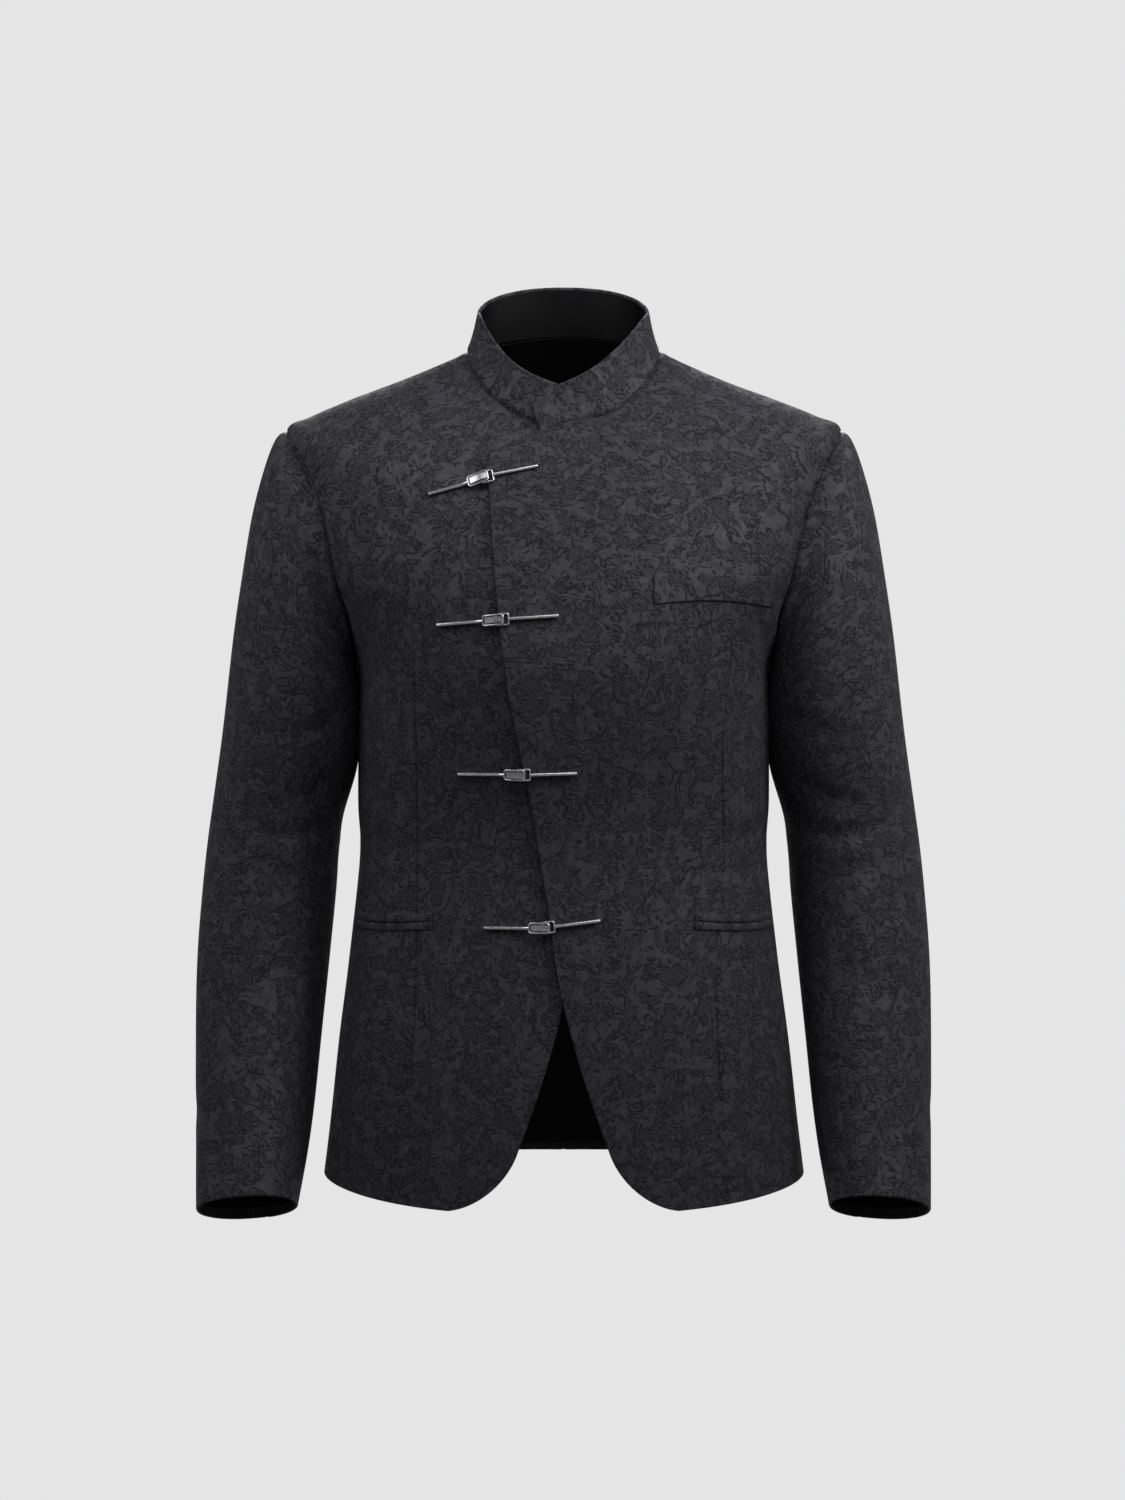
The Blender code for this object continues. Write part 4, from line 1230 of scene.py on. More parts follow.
class Surface(Graph):
    """The node tree of a material, round its one shader."""

    def __init__(self, name: str) -> None:
        """Starts a material of this name."""
        self.material = bpy.data.materials.new(name)
        self.material.use_nodes = True
        super().__init__(self.material.node_tree)

    def cloth(self) -> Term:
        """The cloth's own flat coordinates, in metres."""
        return self.take("ShaderNodeUVMap", "UV", {"uv_map": "cloth"})

    def place(self) -> Term:
        """The place on the object, in metres."""
        return self.take("ShaderNodeTexCoord", "Object")

    def bump(self, height: Term, strength: float, distance: float) -> Term:
        """The normal that a height gives."""
        inputs = {"Height": height, "Strength": strength, "Distance": distance}
        return self.take("ShaderNodeBump", "Normal", inputs=inputs)

    def dress(self, values: dict[str, Input]) -> Material:
        """Feeds the shader's inputs by name and returns the material."""
        for name, value in values.items():
            self.feed(self.tree.nodes["Principled BSDF"].inputs[name], value)
        return self.material


@dataclass(frozen=True)
class JacquardPattern:
    """The woven figure: ragged flowers, fans of leaves, thin stems and small strokes, and lighter strokes painted in
    as highlights, in millimetres.
    """

    drift: float = 9.0
    drift_over: float = 42.0
    wobble: float = 2.3
    wobble_over: float = 7.5
    flower_cell: float = 31.0
    flower_radius: float = 9.6
    flower_ring: float = 3.1
    flower_middle: float = 1.3
    petals: int = 5
    leaf_cell: float = 18.0
    leaf_spread: float = math.radians(52)
    leaf_fan: float = math.radians(80)
    leaf_start: float = 1.4
    leaf_length: float = 13.5
    leaf_width: float = 1.75
    leaves_off: tuple[float, float, float] = (11.0, 23.0, 0.0)
    stem_cell: float = 27.0
    stroke_cell: float = 6.2
    stroke_length: float = 6.4
    stroke_width: float = 0.95
    strokes_off: tuple[float, float, float] = (5.0, 3.0, 0.0)
    # Where the lighter strokes lie and how much they lighten the tone: painted highlights of the raised weave
    bright_off: tuple[float, float, float] = (17.0, 9.0, 0.0)
    bright_stroke: float = 0.3
    yarn: float = 0.62
    yarn_slant: float = 0.45
    pick: float = 0.5
    line: float = 0.8
    soft: float = 0.62

    def group(self) -> bpy.types.NodeTree:
        """Builds the group: cloth coordinates in; the figure's mask, the weave's height, and the slub with painted
        highlight strokes out.
        """
        group = Group(
            "woven flowers",
            {"Cloth": ("NodeSocketVector", None)},
            {"Figure": "NodeSocketFloat", "Weave": "NodeSocketFloat", "Slub": "NodeSocketFloat"},
        )
        place = group.scaled(group.given["Cloth"], 1 / MM)
        drawn = self.swayed(self.swayed(place, self.drift, self.drift_over), self.wobble, self.wobble_over)
        flower, near_flower = self.flower(drawn)
        leaves = self.leaves(group.vector("ADD", drawn, self.leaves_off))
        strokes = self.strokes(group.vector("ADD", drawn, self.strokes_off))
        plants = leaves | strokes | self.stems(drawn)
        figure = (flower | plants * (1.0 - near_flower)) * place.noise(3.0, 2.0).fit(5.0, -1.25, clamp=True)
        shade = drawn.noise(10.0, 2.0).fit(7.0, -3.5, clamp=True) * 0.4
        # Lighter strokes added to the tone: painted highlights, standing in for light caught by the raised weave
        painted_highlight_strokes = self.strokes(group.vector("ADD", drawn, self.bright_off))
        group.feed(group.results["Figure"], figure | shade)
        group.feed(group.results["Weave"], self.weave(place))
        group.feed(group.results["Slub"], painted_highlight_strokes.fit(self.bright_stroke, self.slub(place)))
        return group.arrange()

    @staticmethod
    def swayed(place: Term, reach: float, over: float) -> Term:
        """The place moved a little to all sides, so that drawn lines bend."""
        graph = place.graph
        off = graph.vector("SUBTRACT", place.noise(over, output="Color"), (0.5, 0.5, 0.5))
        return graph.vector("ADD", place, graph.vector("MULTIPLY", off, (2 * reach, 2 * reach, 0.0)))

    @staticmethod
    def cell(place: Term, size: float, randomness: float) -> tuple[Term, Term, list[Term], list[Term]]:
        """Finds the nearest motif's cell, and turns the place about its middle by a random angle.

        Args:
            place: The place on the cloth.
            size: The cell's size.
            randomness: How far the cells stray from an even grid, from 0 to 1.

        Returns:
            Distance and angle from the cell's middle, the turned coordinates, the parts of a random colour.
        """
        graph = place.graph
        inputs = {"Vector": place, "Scale": 1 / size, "Randomness": randomness}
        found = graph.outputs("ShaderNodeTexVoronoi", {"voronoi_dimensions": "2D"}, inputs)
        colour = list(graph.outputs("ShaderNodeSeparateColor", inputs={0: found["Color"]}).values())
        away = graph.vector("SUBTRACT", place, found["Position"])
        inputs = {"Vector": away, "Angle": colour[0] * (2 * math.pi)}
        turned = graph.take("ShaderNodeVectorRotate", 0, {"rotation_type": "Z_AXIS"}, inputs)
        parts = graph.parts(turned)
        return graph.vector("LENGTH", turned), parts[1].math("ARCTAN2", parts[0]), parts, colour

    def flower(self, place: Term) -> tuple[Term, Term]:
        """Ragged petals with an outline, veins and a dark middle; and a disc that keeps leaves off them."""
        r, theta, _, (_, tint, _) = self.cell(place, self.flower_cell, 0.6)
        r = r / place.graph.mix_value(tint, 0.74, 1.04)
        half = self.flower_radius / 2
        over = r - (abs((theta * (self.petals / 2)).cosine()) ** 0.6).fit(half, half)
        outline = (abs(over) - self.line * 1.15).within(self.soft)
        veins = (theta * (4 * self.petals)).sine().fit(1.4, 0.45, clamp=True)
        ring = (abs(r - self.flower_ring) - self.line * 1.1).within(self.soft)
        blade = veins.fit(0.6, 0.3) * (1.0 - ring * 0.5) * over.within(self.soft)
        middle = (r - self.flower_middle).within(self.soft)
        return blade | outline | middle, (r - (self.flower_radius + 0.6)).within(1.6)

    def leaves(self, place: Term) -> Term:
        """Fans of three long leaves, drawn as two strokes that meet at both ends, with a faint blade."""
        r, theta, _, (_, _, tint) = self.cell(place, self.leaf_cell, 0.85)
        folded = theta.math("WRAP", self.leaf_spread / 2, -self.leaf_spread / 2)
        side = abs(r * folded.sine())
        length = place.graph.mix_value(tint, 0.6 * self.leaf_length, self.leaf_length)
        f = (r * folded.cosine() - self.leaf_start).math("DIVIDE", length, clamp=True)
        over = side - (f * (1.0 - f)) ** 0.75 * (2.83 * self.leaf_width)
        drawn = (abs(over) - self.line).within(self.soft) | over.within(self.soft) * 0.25
        return drawn * ((f > 0.01) * (f < 0.99) * (abs(theta) < self.leaf_fan))

    def strokes(self, place: Term) -> Term:
        """Small tapered strokes, scattered between the leaves."""
        _, _, (x, y, _), (_, _, tint) = self.cell(place, self.stroke_cell, 1.0)
        f = x / (self.stroke_length / 2)
        return (abs(y) - (1.0 - f * f) * self.stroke_width).within(self.soft) * (tint > 0.25)

    def stems(self, place: Term) -> Term:
        """Thin winding stems, broken off here and there."""
        settings = {"voronoi_dimensions": "2D", "feature": "DISTANCE_TO_EDGE"}
        inputs = {"Vector": place, "Scale": 1 / self.stem_cell, "Randomness": 0.9}
        away = place.graph.take("ShaderNodeTexVoronoi", "Distance", settings, inputs) * self.stem_cell
        return (away - self.line).within(self.soft) * (place.noise(17.0) > 0.47)

    def weave(self, place: Term) -> Term:
        """The height of the yarns: fine slanting satin floats."""
        x, y, _ = place.graph.parts(place)
        yarn = ((x + y * self.yarn_slant) * (2 * math.pi / self.yarn)).sine()
        return (yarn * (y * (2 * math.pi / self.pick)).sine()).fit(0.25, yarn * 0.5)

    @staticmethod
    def slub(place: Term) -> Term:
        """A faint unevenness of the tone: soft patches, and yarns that run along the warp."""
        along = place.graph.vector("MULTIPLY", place, (1.0, 0.25, 1.0))
        return place.noise(6.0, 3.0) * 0.6 + along.noise(1.5, 2.0)


@dataclass(frozen=True)
class JacquardFinish:
    """Charcoal jacquard: a slightly satin ground with a darker, duller figure woven in, and lighter strokes painted in
    as highlights.
    """

    ground: Colour = (0.049, 0.0475, 0.061, 1.0)
    figure: Colour = (0.0085, 0.0082, 0.0115, 1.0)
    ground_roughness: float = 0.5
    figure_roughness: float = 0.75
    specular: float = 0.3
    sheen: float = 0.03
    sheen_roughness: float = 0.45
    least_tone: float = 0.18
    weave_height: float = 0.00016
    pattern: JacquardPattern = JacquardPattern()

    def material(self) -> Material:
        """Builds the material."""
        made = Surface("jacquard cloth")
        woven = made.outputs("ShaderNodeGroup", {"node_tree": self.pattern.group()}, {"Cloth": made.cloth()})
        figure = woven["Figure"]
        # The tone is the slub plus the painted highlight strokes; it multiplies the base colour
        tone = woven["Slub"].fit(1.0, self.least_tone)
        tone = made.take("ShaderNodeCombineColor", "Color", inputs={"Red": tone, "Green": tone, "Blue": tone})
        colour = made.mix_colour(figure, self.ground, self.figure)
        height = figure.fit(-1.4, woven["Weave"] * 0.6)
        return made.dress(
            {
                "Base Color": made.mix_colour(1.0, colour, tone, "MULTIPLY"),
                "Roughness": made.mix_value(figure, self.ground_roughness, self.figure_roughness),
                "Normal": made.bump(height, 0.8, self.weave_height),
                "Specular IOR Level": self.specular,
                "Sheen Weight": self.sheen,
                "Sheen Roughness": self.sheen_roughness,
            }
        )


@dataclass(frozen=True)
class LiningFinish:
    """Black satin lining with a fine twill."""

    colour: Colour = (0.0042, 0.0042, 0.0052, 1.0)
    roughness: float = 0.42
    specular: float = 0.12
    twill_per_mm: float = 9.0
    twill_height: float = 0.00004

    def material(self) -> Material:
        """Builds the material."""
        made = Surface("black lining")
        place = made.scaled(made.cloth(), 1 / MM)
        x, y, _ = made.parts(place)
        cloud = place.noise(20.0, 2.0)
        return made.dress(
            {
                "Base Color": made.scaled(self.colour[:3], cloud.fit(0.8, 0.6)),
                "Roughness": cloud.fit(0.16, self.roughness),
                "Normal": made.bump(((x + y) * self.twill_per_mm).sine(), 0.5, self.twill_height),
                "Specular IOR Level": self.specular,
            }
        )


class MetalSurface(Enum):
    """How a clasp's metal is worked."""

    POLISHED = "polished"
    BRUSHED = "brushed"


@dataclass(frozen=True)
class MetalFinish:
    """Silver-toned metal with fine wear: polished wire, or a plate brushed along its length."""

    surface: MetalSurface
    colour: Colour
    roughness: float
    grain: float = 1.0
    line_gain: float = 3.0
    line_base: float = -0.6
    scratch_height: float = 0.00005

    @staticmethod
    def wear_group() -> bpy.types.NodeTree:
        """The shared group for fine scratches and handling marks, built once."""
        name = "fine wear"
        if name in bpy.data.node_groups:
            return bpy.data.node_groups[name]
        group = Group(
            name,
            {"Place": ("NodeSocketVector", None), "Grain": ("NodeSocketFloat", 1.0)},
            {"Scratches": "NodeSocketFloat", "Marks": "NodeSocketFloat"},
        )
        place = group.given["Place"]
        inputs = {"Vector": group.vector("MULTIPLY", place, (0.06, 1.0, 1.0)), "Scale": 1500.0, "Detail": 3.0}
        scratches = group.take("ShaderNodeTexNoise", "Fac", inputs=inputs) * group.given["Grain"]
        inputs = {"Vector": place, "Scale": 420.0, "Detail": 3.0}
        group.feed(group.results["Scratches"], scratches)
        group.feed(group.results["Marks"], group.take("ShaderNodeTexNoise", "Fac", inputs=inputs))
        return group.arrange()

    def material(self) -> Material:
        """Builds the material."""
        made = Surface(f"{self.surface.value} metal")
        inputs = {"Place": made.place(), "Grain": self.grain}
        worn = made.outputs("ShaderNodeGroup", {"node_tree": self.wear_group()}, inputs)
        scratches = worn["Scratches"]
        lines = scratches.fit(self.line_gain, self.line_base, clamp=True)
        shine = worn["Marks"] ** 0.7 * lines
        return made.dress(
            {
                "Base Color": made.mix_colour(shine, dimmed(self.colour, 0.4), self.colour),
                "Roughness": scratches.fit(0.22, self.roughness),
                "Normal": made.bump(scratches, 0.5, self.scratch_height),
                "Metallic": 1.0,
            }
        )


@dataclass(frozen=True)
class ThreadFinish:
    """Dull black sewing thread."""

    colour: Colour = (0.022, 0.021, 0.026, 1.0)
    roughness: float = 0.7

    def material(self) -> Material:
        """Builds the material."""
        made = Surface("sewing thread")
        inputs = {"Vector": made.place(), "Scale": 2500.0, "Detail": 1.0}
        ply = made.take("ShaderNodeTexNoise", "Fac", inputs=inputs)
        colour = made.mix_colour(ply, dimmed(self.colour, 0.6), self.colour)
        return made.dress({"Base Color": colour, "Roughness": self.roughness})


@dataclass
class Finishes:
    """The blazer's materials, each built once."""

    jacquard: Material
    lining: Material
    polished: Material
    brushed: Material
    thread: Material

    @classmethod
    def build(cls) -> "Finishes":
        """Builds all the materials."""
        return cls(
            jacquard=JacquardFinish().material(),
            lining=LiningFinish().material(),
            polished=MetalFinish(MetalSurface.POLISHED, (0.86, 0.86, 0.88, 1.0), 0.16).material(),
            brushed=MetalFinish(MetalSurface.BRUSHED, (0.6, 0.6, 0.61, 1.0), 0.26).material(),
            thread=ThreadFinish().material(),
        )


@dataclass
class BodyPanels:
    """The fronts, the backs and the lining of the back."""

    form: BodyForm
    finishes: Finishes
    cloth: float = 2.0
    lining_cloth: float = 0.8
    lining_inside: float = 3.6
    lining_above_hem: float = 0.16
    lining_inset: float = 9.0
    step: float = 3.2
    body_length: float = 440.0
    armhole_length: float = 215.0
    shoulder_length: float = 130.0
    side_to_dart: float = 90.0
    dart_to_edge: float = 185.0
    back_width: float = 235.0
    lining_width: float = 230.0
    lining_relief: float = 0.7
    dart_depth: float = 1.3
    dart_width: float = 1.0
    dart_puff: float = 0.16
    dart_puff_at: float = 4.0
    dart_puff_width: float = 2.4
    dart_top: float = 22.0
    dart_fade: float = 0.65
    dart_fade_from: float = -585.0
    dart_fade_over: float = 60.0

    def rows(self) -> Array:
        """The rows' positions: 0 to 8 up to the underarm, 8 to 9 beside the armhole, 9 to 10 to the top."""
        body = UNDERARM * graded(self.body_length, self.step, fine_end=False)
        armhole = UNDERARM + np.linspace(0, 1, int(self.armhole_length / self.step))[1:]
        shoulder = UNDERARM + 1 + graded(self.shoulder_length, self.step * 0.8, fine_start=False)[1:]
        return np.concatenate([body, armhole, shoulder])

    @staticmethod
    def levels(rows: Array) -> Array:
        """The levels of rows up to the shoulder point."""
        swing = np.clip(rows - UNDERARM, 0, 1)
        armhole = SHOULDER_POINT - (SHOULDER_POINT - UNDERARM) * (1 - np.cos(math.pi * (1 - swing))) / 2
        return np.where(rows <= UNDERARM, rows, armhole)

    def dart_share(self, level: Array, side: Side) -> Array:
        """Where the dart line crosses a front's row, as a share of its width."""
        table = DART_LEFT if side is Side.LEFT else DART_RIGHT
        turn = self.form.line_turn(level, lambda z: smooth_table(table, z))
        start = self.form.outer_turn(level, 1)
        return (turn - start) / (self.form.edge_turn(level) - start)

    def front_places(self, side: Side) -> tuple[Array, Array, int]:
        """The levels and turns of a front's grid, and the column of its dart."""
        rows = self.rows()
        level = self.levels(rows)[:, None]
        near = graded(self.side_to_dart, self.step)
        far = graded(self.dart_to_edge, self.step)
        dart = self.dart_share(level, side)
        share = np.concatenate([dart * near, dart + (1 - dart) * far[1:]], axis=1)
        start = self.form.outer_turn(level, 1)
        turn = start + (self.form.edge_turn(level) - start) * share
        level = np.broadcast_to(level, turn.shape)
        top_level, top_turn = self.form.front_top(share[-1], side is Side.LEFT)
        above = np.clip(rows - UNDERARM - 1, 0, 1)[:, None]
        return level + (top_level - level) * above, turn + (top_turn - turn) * above, len(near) - 1

    def back_places(self) -> Pair:
        """The levels and turns of the left back's grid, from the side to the centre back."""
        rows = self.rows()
        above = np.clip(rows - UNDERARM - 1, 0, 1)
        level = (self.levels(rows) + (NECK - SHOULDER_POINT) * above)[:, None]
        start = self.form.outer_turn(level, -1)
        turn = start + (-QUARTER - start) * graded(self.back_width, self.step)
        return np.broadcast_to(level, turn.shape), turn

    @staticmethod
    def neck_lean(points: Array, normals: Array) -> Array:
        """The direction halfway between a panel's own and the collar's, so that both close at the seam."""
        return unit(normals + unit(points * np.array([1.0, 1.0, 0.0])))

    def front(self, side: Side) -> ClothPanel:
        """One front: the left one lies on the right one."""
        level, turn, dart = self.front_places(side)
        outer, normals = self.form.laid(level, turn, side, 0.0, lifted=side is Side.LEFT)
        across = run_lengths(outer, 1)
        across = across - across[:, dart : dart + 1]
        table = DART_LEFT if side is Side.LEFT else DART_RIGHT
        below_top = ease((table[-1][0] - outer[..., 2]) / self.dart_top + 1)
        below_top *= 1 - self.dart_fade * ease((self.dart_fade_from - outer[..., 2]) / self.dart_fade_over)
        valley = np.exp(-((across / self.dart_width) ** 2))
        puff = np.exp(-(((np.abs(across) - self.dart_puff_at) / self.dart_puff_width) ** 2))
        outer = outer - normals * (self.dart_depth * below_top * (valley - self.dart_puff * puff))[..., None]
        share = np.linspace(0, 1, outer.shape[1])
        turn_share = (turn[-1] - turn[-1, 0]) / (turn[-1, -1] - turn[-1, 0])
        top_turned = np.where(turn_share > self.form.neck_columns, 1.0, 0.0) * (share > 0.5)
        normals[-1] = np.where(top_turned[:, None] > 0, normals[-1], self.neck_lean(outer[-1], normals[-1]))
        return ClothPanel(
            name=f"front_{side.word}_cloth",
            outer=outer,
            normals=normals,
            cloth=self.cloth,
            turned={Edge.LAST_COLUMN: 1.0, Edge.FIRST_ROW: 1.0, Edge.LAST_ROW: top_turned},
            facing={Edge.LAST_COLUMN: 70.0, Edge.FIRST_ROW: 22.0, Edge.LAST_ROW: 25.0},
            uv_sign=float(side.value) * -1.0,
            uv_from=(0.413, 0.07) if side is Side.LEFT else (0.151, 0.342),
        )

    def back(self, side: Side) -> ClothPanel:
        """One back, with its seam at the centre."""
        outer, normals = self.form.laid(*self.back_places(), side, 0.0, lifted=False)
        normals[-1] = self.neck_lean(outer[-1], normals[-1])
        return ClothPanel(
            name=f"back_{side.word}_cloth",
            outer=outer,
            normals=normals,
            cloth=self.cloth,
            turned={Edge.FIRST_ROW: 1.0},
            facing={Edge.FIRST_ROW: 14.0},
            uv_sign=float(side.value),
            uv_from=(0.83, 0.21) if side is Side.LEFT else (0.88, 0.21),
        )

    def lining(self) -> ClothPanel:
        """The lining of the back, from side seam to side seam."""
        rows = self.rows()
        above = np.clip(rows - UNDERARM - 1, 0, 1)
        level = self.levels(rows) + (NECK - SHOULDER_POINT) * above
        level = level[level > self.lining_above_hem]
        level = np.insert(level, 0, self.lining_above_hem)[:, None]
        girth = between(self.form.rings, level)
        inset = self.lining_inset / (girth[..., 0] + girth[..., 2]) * 2
        start = np.minimum(self.form.outer_turn(level, -1), 0.0) - inset
        turn = start + (-QUARTER - start) * graded(self.lining_width, self.step * 1.3, fine_end=False)
        level = np.broadcast_to(level, turn.shape)
        sides = []
        for side in Side:
            points = self.form.point(level, turn) * side.across
            normals = self.form.normal(level, turn) * side.across
            off = self.form.relief(points) * self.lining_relief - self.lining_inside
            sides.append((points + normals * off[..., None], normals))
        outer, normals = (joined(left, right) for left, right in zip(*sides))
        turned = {edge: 1.0 for edge in Edge}
        return ClothPanel("back_lining", outer, normals, self.lining_cloth, turned)

    def build(self) -> dict[str, Piece]:
        """Builds the five pieces and returns them by node name."""
        made = {}
        for side in Side:
            for part, panel in (("front", self.front(side)), ("back", self.back(side))):
                piece = panel.build(self.finishes.jacquard, self.finishes.lining)
                node = f"{part}_{side.word}"
                made[node] = place_piece(piece, "jacquard", [node])
        lining = self.lining().build(self.finishes.lining, self.finishes.lining)
        made["lining_back"] = place_piece(lining, "lining", ["lining_back"])
        return made


@dataclass
class CollarBand:
    """The standing collar, its left end lapping over its right end."""

    form: BodyForm
    finishes: Finishes
    cloth: float = 3.0
    lean_over: float = 0.45
    lean_under: float = 0.34
    curve_over: float = 2.46
    curve_under: float = 3.4
    under_drop: float = 2.5
    slant: float = math.radians(9)
    slant_from: float = math.radians(50)
    hollow: float = 0.8
    lift: float = 4.4
    full_x: float = 12.0
    fade: float = 36.0
    end_forward: float = 0.12
    height: float = 44.0
    half_length: float = 230.0
    step: float = 2.6

    def top_z(self, x: Array, over: bool) -> Array:
        """The height of the top edge in front: a lean through the centre front and a curve up to the side.

        Args:
            x: Distances from the centre, towards this half's side.
            over: Whether it is the half that lies on top.

        Returns:
            The height at each distance.
        """
        lean = self.lean_over if over else self.lean_under
        front = COLLAR_TOP.z_front - (0.0 if over else self.under_drop)
        rise = COLLAR_TOP.z_side - front - lean * COLLAR_TOP.half_width
        curve = (np.maximum(x, 0) / COLLAR_TOP.half_width) ** (self.curve_over if over else self.curve_under)
        return front + lean * x + rise * curve

    def half(self, over: bool) -> Pair:
        """Half of the band, from its end to the centre back.

        Args:
            over: Whether it is the half that lies on top.

        Returns:
            Its points in rows from the seam up, and the directions that close the seam.
        """
        end = self.form.collar_end_turn(over)
        flat_turn = end + (-QUARTER - end) * graded(self.half_length, self.step, fine_end=False)
        share = np.clip(flat_turn / end, 0, 1) * self.form.neck_columns
        top_level, top_turn = self.form.front_top(share, over)
        level = np.where(flat_turn > 0, top_level, float(NECK))
        turn = np.where(flat_turn > 0, top_turn, flat_turn)
        low = self.form.point(level, turn)
        outward = unit(low * np.array([1.0, 1.0, 0.0]))
        slant = self.slant * ease((flat_turn - self.slant_from) / (end - self.slant_from)) if over else 0.0
        high = self.form.on_ring(np.array(COLLAR_TOP, float), flat_turn + slant)
        front = flat_turn > 0
        high[:, 2] = np.where(front, self.top_z(high[:, 0], over), high[:, 2])
        if over:
            high[:, 1] += np.where(front, self.end_forward * np.minimum(high[:, 0], 0), 0.0)
            lift = self.lift * ease((self.full_x + self.fade - high[:, 0]) / self.fade)
            high = high + np.where(front, lift, 0.0)[:, None] * outward
            seam_lift = np.where(front, self.form.overlap(low), 0.0)
            low = low + self.form.normal(level, turn) * seam_lift[:, None]
        f = graded(self.height, self.step)[:, None, None]
        lean = BodyPanels.neck_lean(low, self.form.normal(level, turn))
        return low + (high - low) * f - self.hollow * np.sin(math.pi * f) * outward, lean

    def build(self) -> Piece:
        """Builds the band."""
        left, left_lean = self.half(True)
        right, right_lean = (part * Side.RIGHT.across for part in self.half(False))
        outer = joined(left, right)
        normals = unit(np.cross(np.gradient(outer, axis=0), np.gradient(outer, axis=1)))
        if (normals * outer).sum() < 0:
            normals = -normals
        normals[0] = np.concatenate([left_lean, right_lean[-2::-1]])
        x, _, z = np.moveaxis(outer, -1, 0)
        outer = outer + normals * waver(x, z, COLLAR_WAVES)[..., None]
        panel = ClothPanel(
            name="collar_band_cloth",
            outer=outer,
            normals=normals,
            cloth=self.cloth,
            turned={Edge.LAST_ROW: 1.0, Edge.FIRST_COLUMN: 1.0, Edge.LAST_COLUMN: 1.0},
            facing={Edge.LAST_ROW: 2.0, Edge.FIRST_COLUMN: 5.0, Edge.LAST_COLUMN: 5.0},
            seam_depth=1.1,
            edge_reach=6.0,
            uv_from=(0.25, 0.61),
        )
        piece = panel.build(self.finishes.jacquard, self.finishes.lining)
        return place_piece(piece, "jacquard", ["collar_band"])


@dataclass
class Sleeves:
    """Two-piece sleeves: an upper and an under sleeve, sewn at the front and the back of the arm."""

    form: BodyForm
    finishes: Finishes
    cloth: float = 2.0
    square: float = 2.15
    front_seam: float = 7.0
    back_seam: float = 14.0
    seam_half_gap: float = 0.2
    off_seam: float = 0.45
    length: float = 650.0
    turn_length: float = 17.5
    settled_by: float = 1.2
    cap_spread: float = 0.8
    step: float = 3.4

    def section_points(self, steps: Array) -> Array:
        """Follows all the sections round the arm.

        Args:
            steps: Steps round the arm.

        Returns:
            The points, by section, step and coordinate.
        """
        x_out, z_out, x_in, z_in, depth, y_mid, pitch = (np.array(column)[:, None] for column in zip(*SLEEVE))
        angle = 2 * math.pi * steps / SLEEVE_TURNS
        power = 2 / self.square
        across = np.copysign(np.abs(np.cos(angle)) ** power, np.cos(angle))
        forward = np.copysign(np.abs(np.sin(angle)) ** power, np.sin(angle)) * depth
        pitch = np.radians(pitch)
        x = (x_out + x_in) / 2 + across * (x_out - x_in) / 2
        z = (z_out + z_in) / 2 + across * (z_out - z_in) / 2
        return np.stack([x, y_mid - forward * np.cos(pitch), z + forward * np.sin(pitch)], axis=-1)

    def surface(self, steps: Array) -> Pair:
        """The creased surface of the left sleeve, from the armhole to the cuff.

        Args:
            steps: Steps round the arm.

        Returns:
            Points and normals, a row for each height and a column for each step.
        """
        wide = np.concatenate([[2 * steps[0] - steps[1]], steps, [2 * steps[-1] - steps[-2]]])
        point, normal, off = self.form.armhole(wide)
        top = np.clip(0.5 + self.cap_spread * np.cos(2 * math.pi * wide / SLEEVE_TURNS), 0, 1)[:, None]
        start = point + self.seam_half_gap * top * off + self.off_seam * (1 - top) * normal
        lines = np.concatenate([start[None], self.section_points(wide)])
        heights = len(SLEEVE) * graded(self.length, self.step)
        outer = between(lines, heights)
        normals = unit(np.cross(np.gradient(outer, axis=0), np.gradient(outer, axis=1)))
        middles = self.section_points(np.arange(float(SLEEVE_TURNS))).mean(1)
        axis = between(np.concatenate([point.mean(0)[None], middles]), heights)
        away = ((outer - axis[:, None]) * normals).sum()
        normals = normals if away > 0 else -normals
        normals[0] = unit(normals[0] * (1 - top) + normal * top)
        outer = outer[:, 1:-1]
        normals = normals[:, 1:-1]
        flat = np.stack([np.broadcast_to(self.turn_length * steps, outer.shape[:2]), outer[..., 2]], axis=-1)
        relief = crease_relief(flat, SLEEVE_CREASES) + waver(outer[..., 2], steps, SLEEVE_WAVES)
        settled = ease(heights / self.settled_by)[:, None]
        return outer + normals * (relief * settled)[..., None], normals

    def panels(self, side: Side) -> dict[str, ClothPanel]:
        """The upper and under panel of one sleeve, by name."""
        back = self.back_seam - SLEEVE_TURNS
        width = self.front_seam - back
        upper = back + width * graded(width * self.turn_length, self.step)
        width = self.back_seam - self.front_seam
        under = self.front_seam + width * graded(width * self.turn_length, self.step)
        made = {}
        for part, steps, start in (("upper", upper, (0.12, 0.9)), ("under", under, (0.66, 0.43))):
            outer, normals = self.surface(steps)
            made[part] = ClothPanel(
                name=f"sleeve_{side.word}_{part}_cloth",
                outer=outer * side.across,
                normals=normals * side.across,
                cloth=self.cloth,
                turned={Edge.LAST_ROW: 1.0},
                facing={Edge.LAST_ROW: 9.0},
                fine=(Edge.FIRST_COLUMN, Edge.LAST_COLUMN),
                uv_sign=float(side.value),
                uv_from=(start[0] + 0.2 * side.value, start[1]),
            )
        return made

    def build(self) -> dict[str, Piece]:
        """Builds the four pieces and returns them by node name."""
        made = {}
        for side in Side:
            for part, panel in self.panels(side).items():
                node = f"sleeve_{side.word}_{part}"
                piece = panel.build(self.finishes.jacquard, self.finishes.lining)
                made[node] = place_piece(piece, "jacquard", [node])
        return made


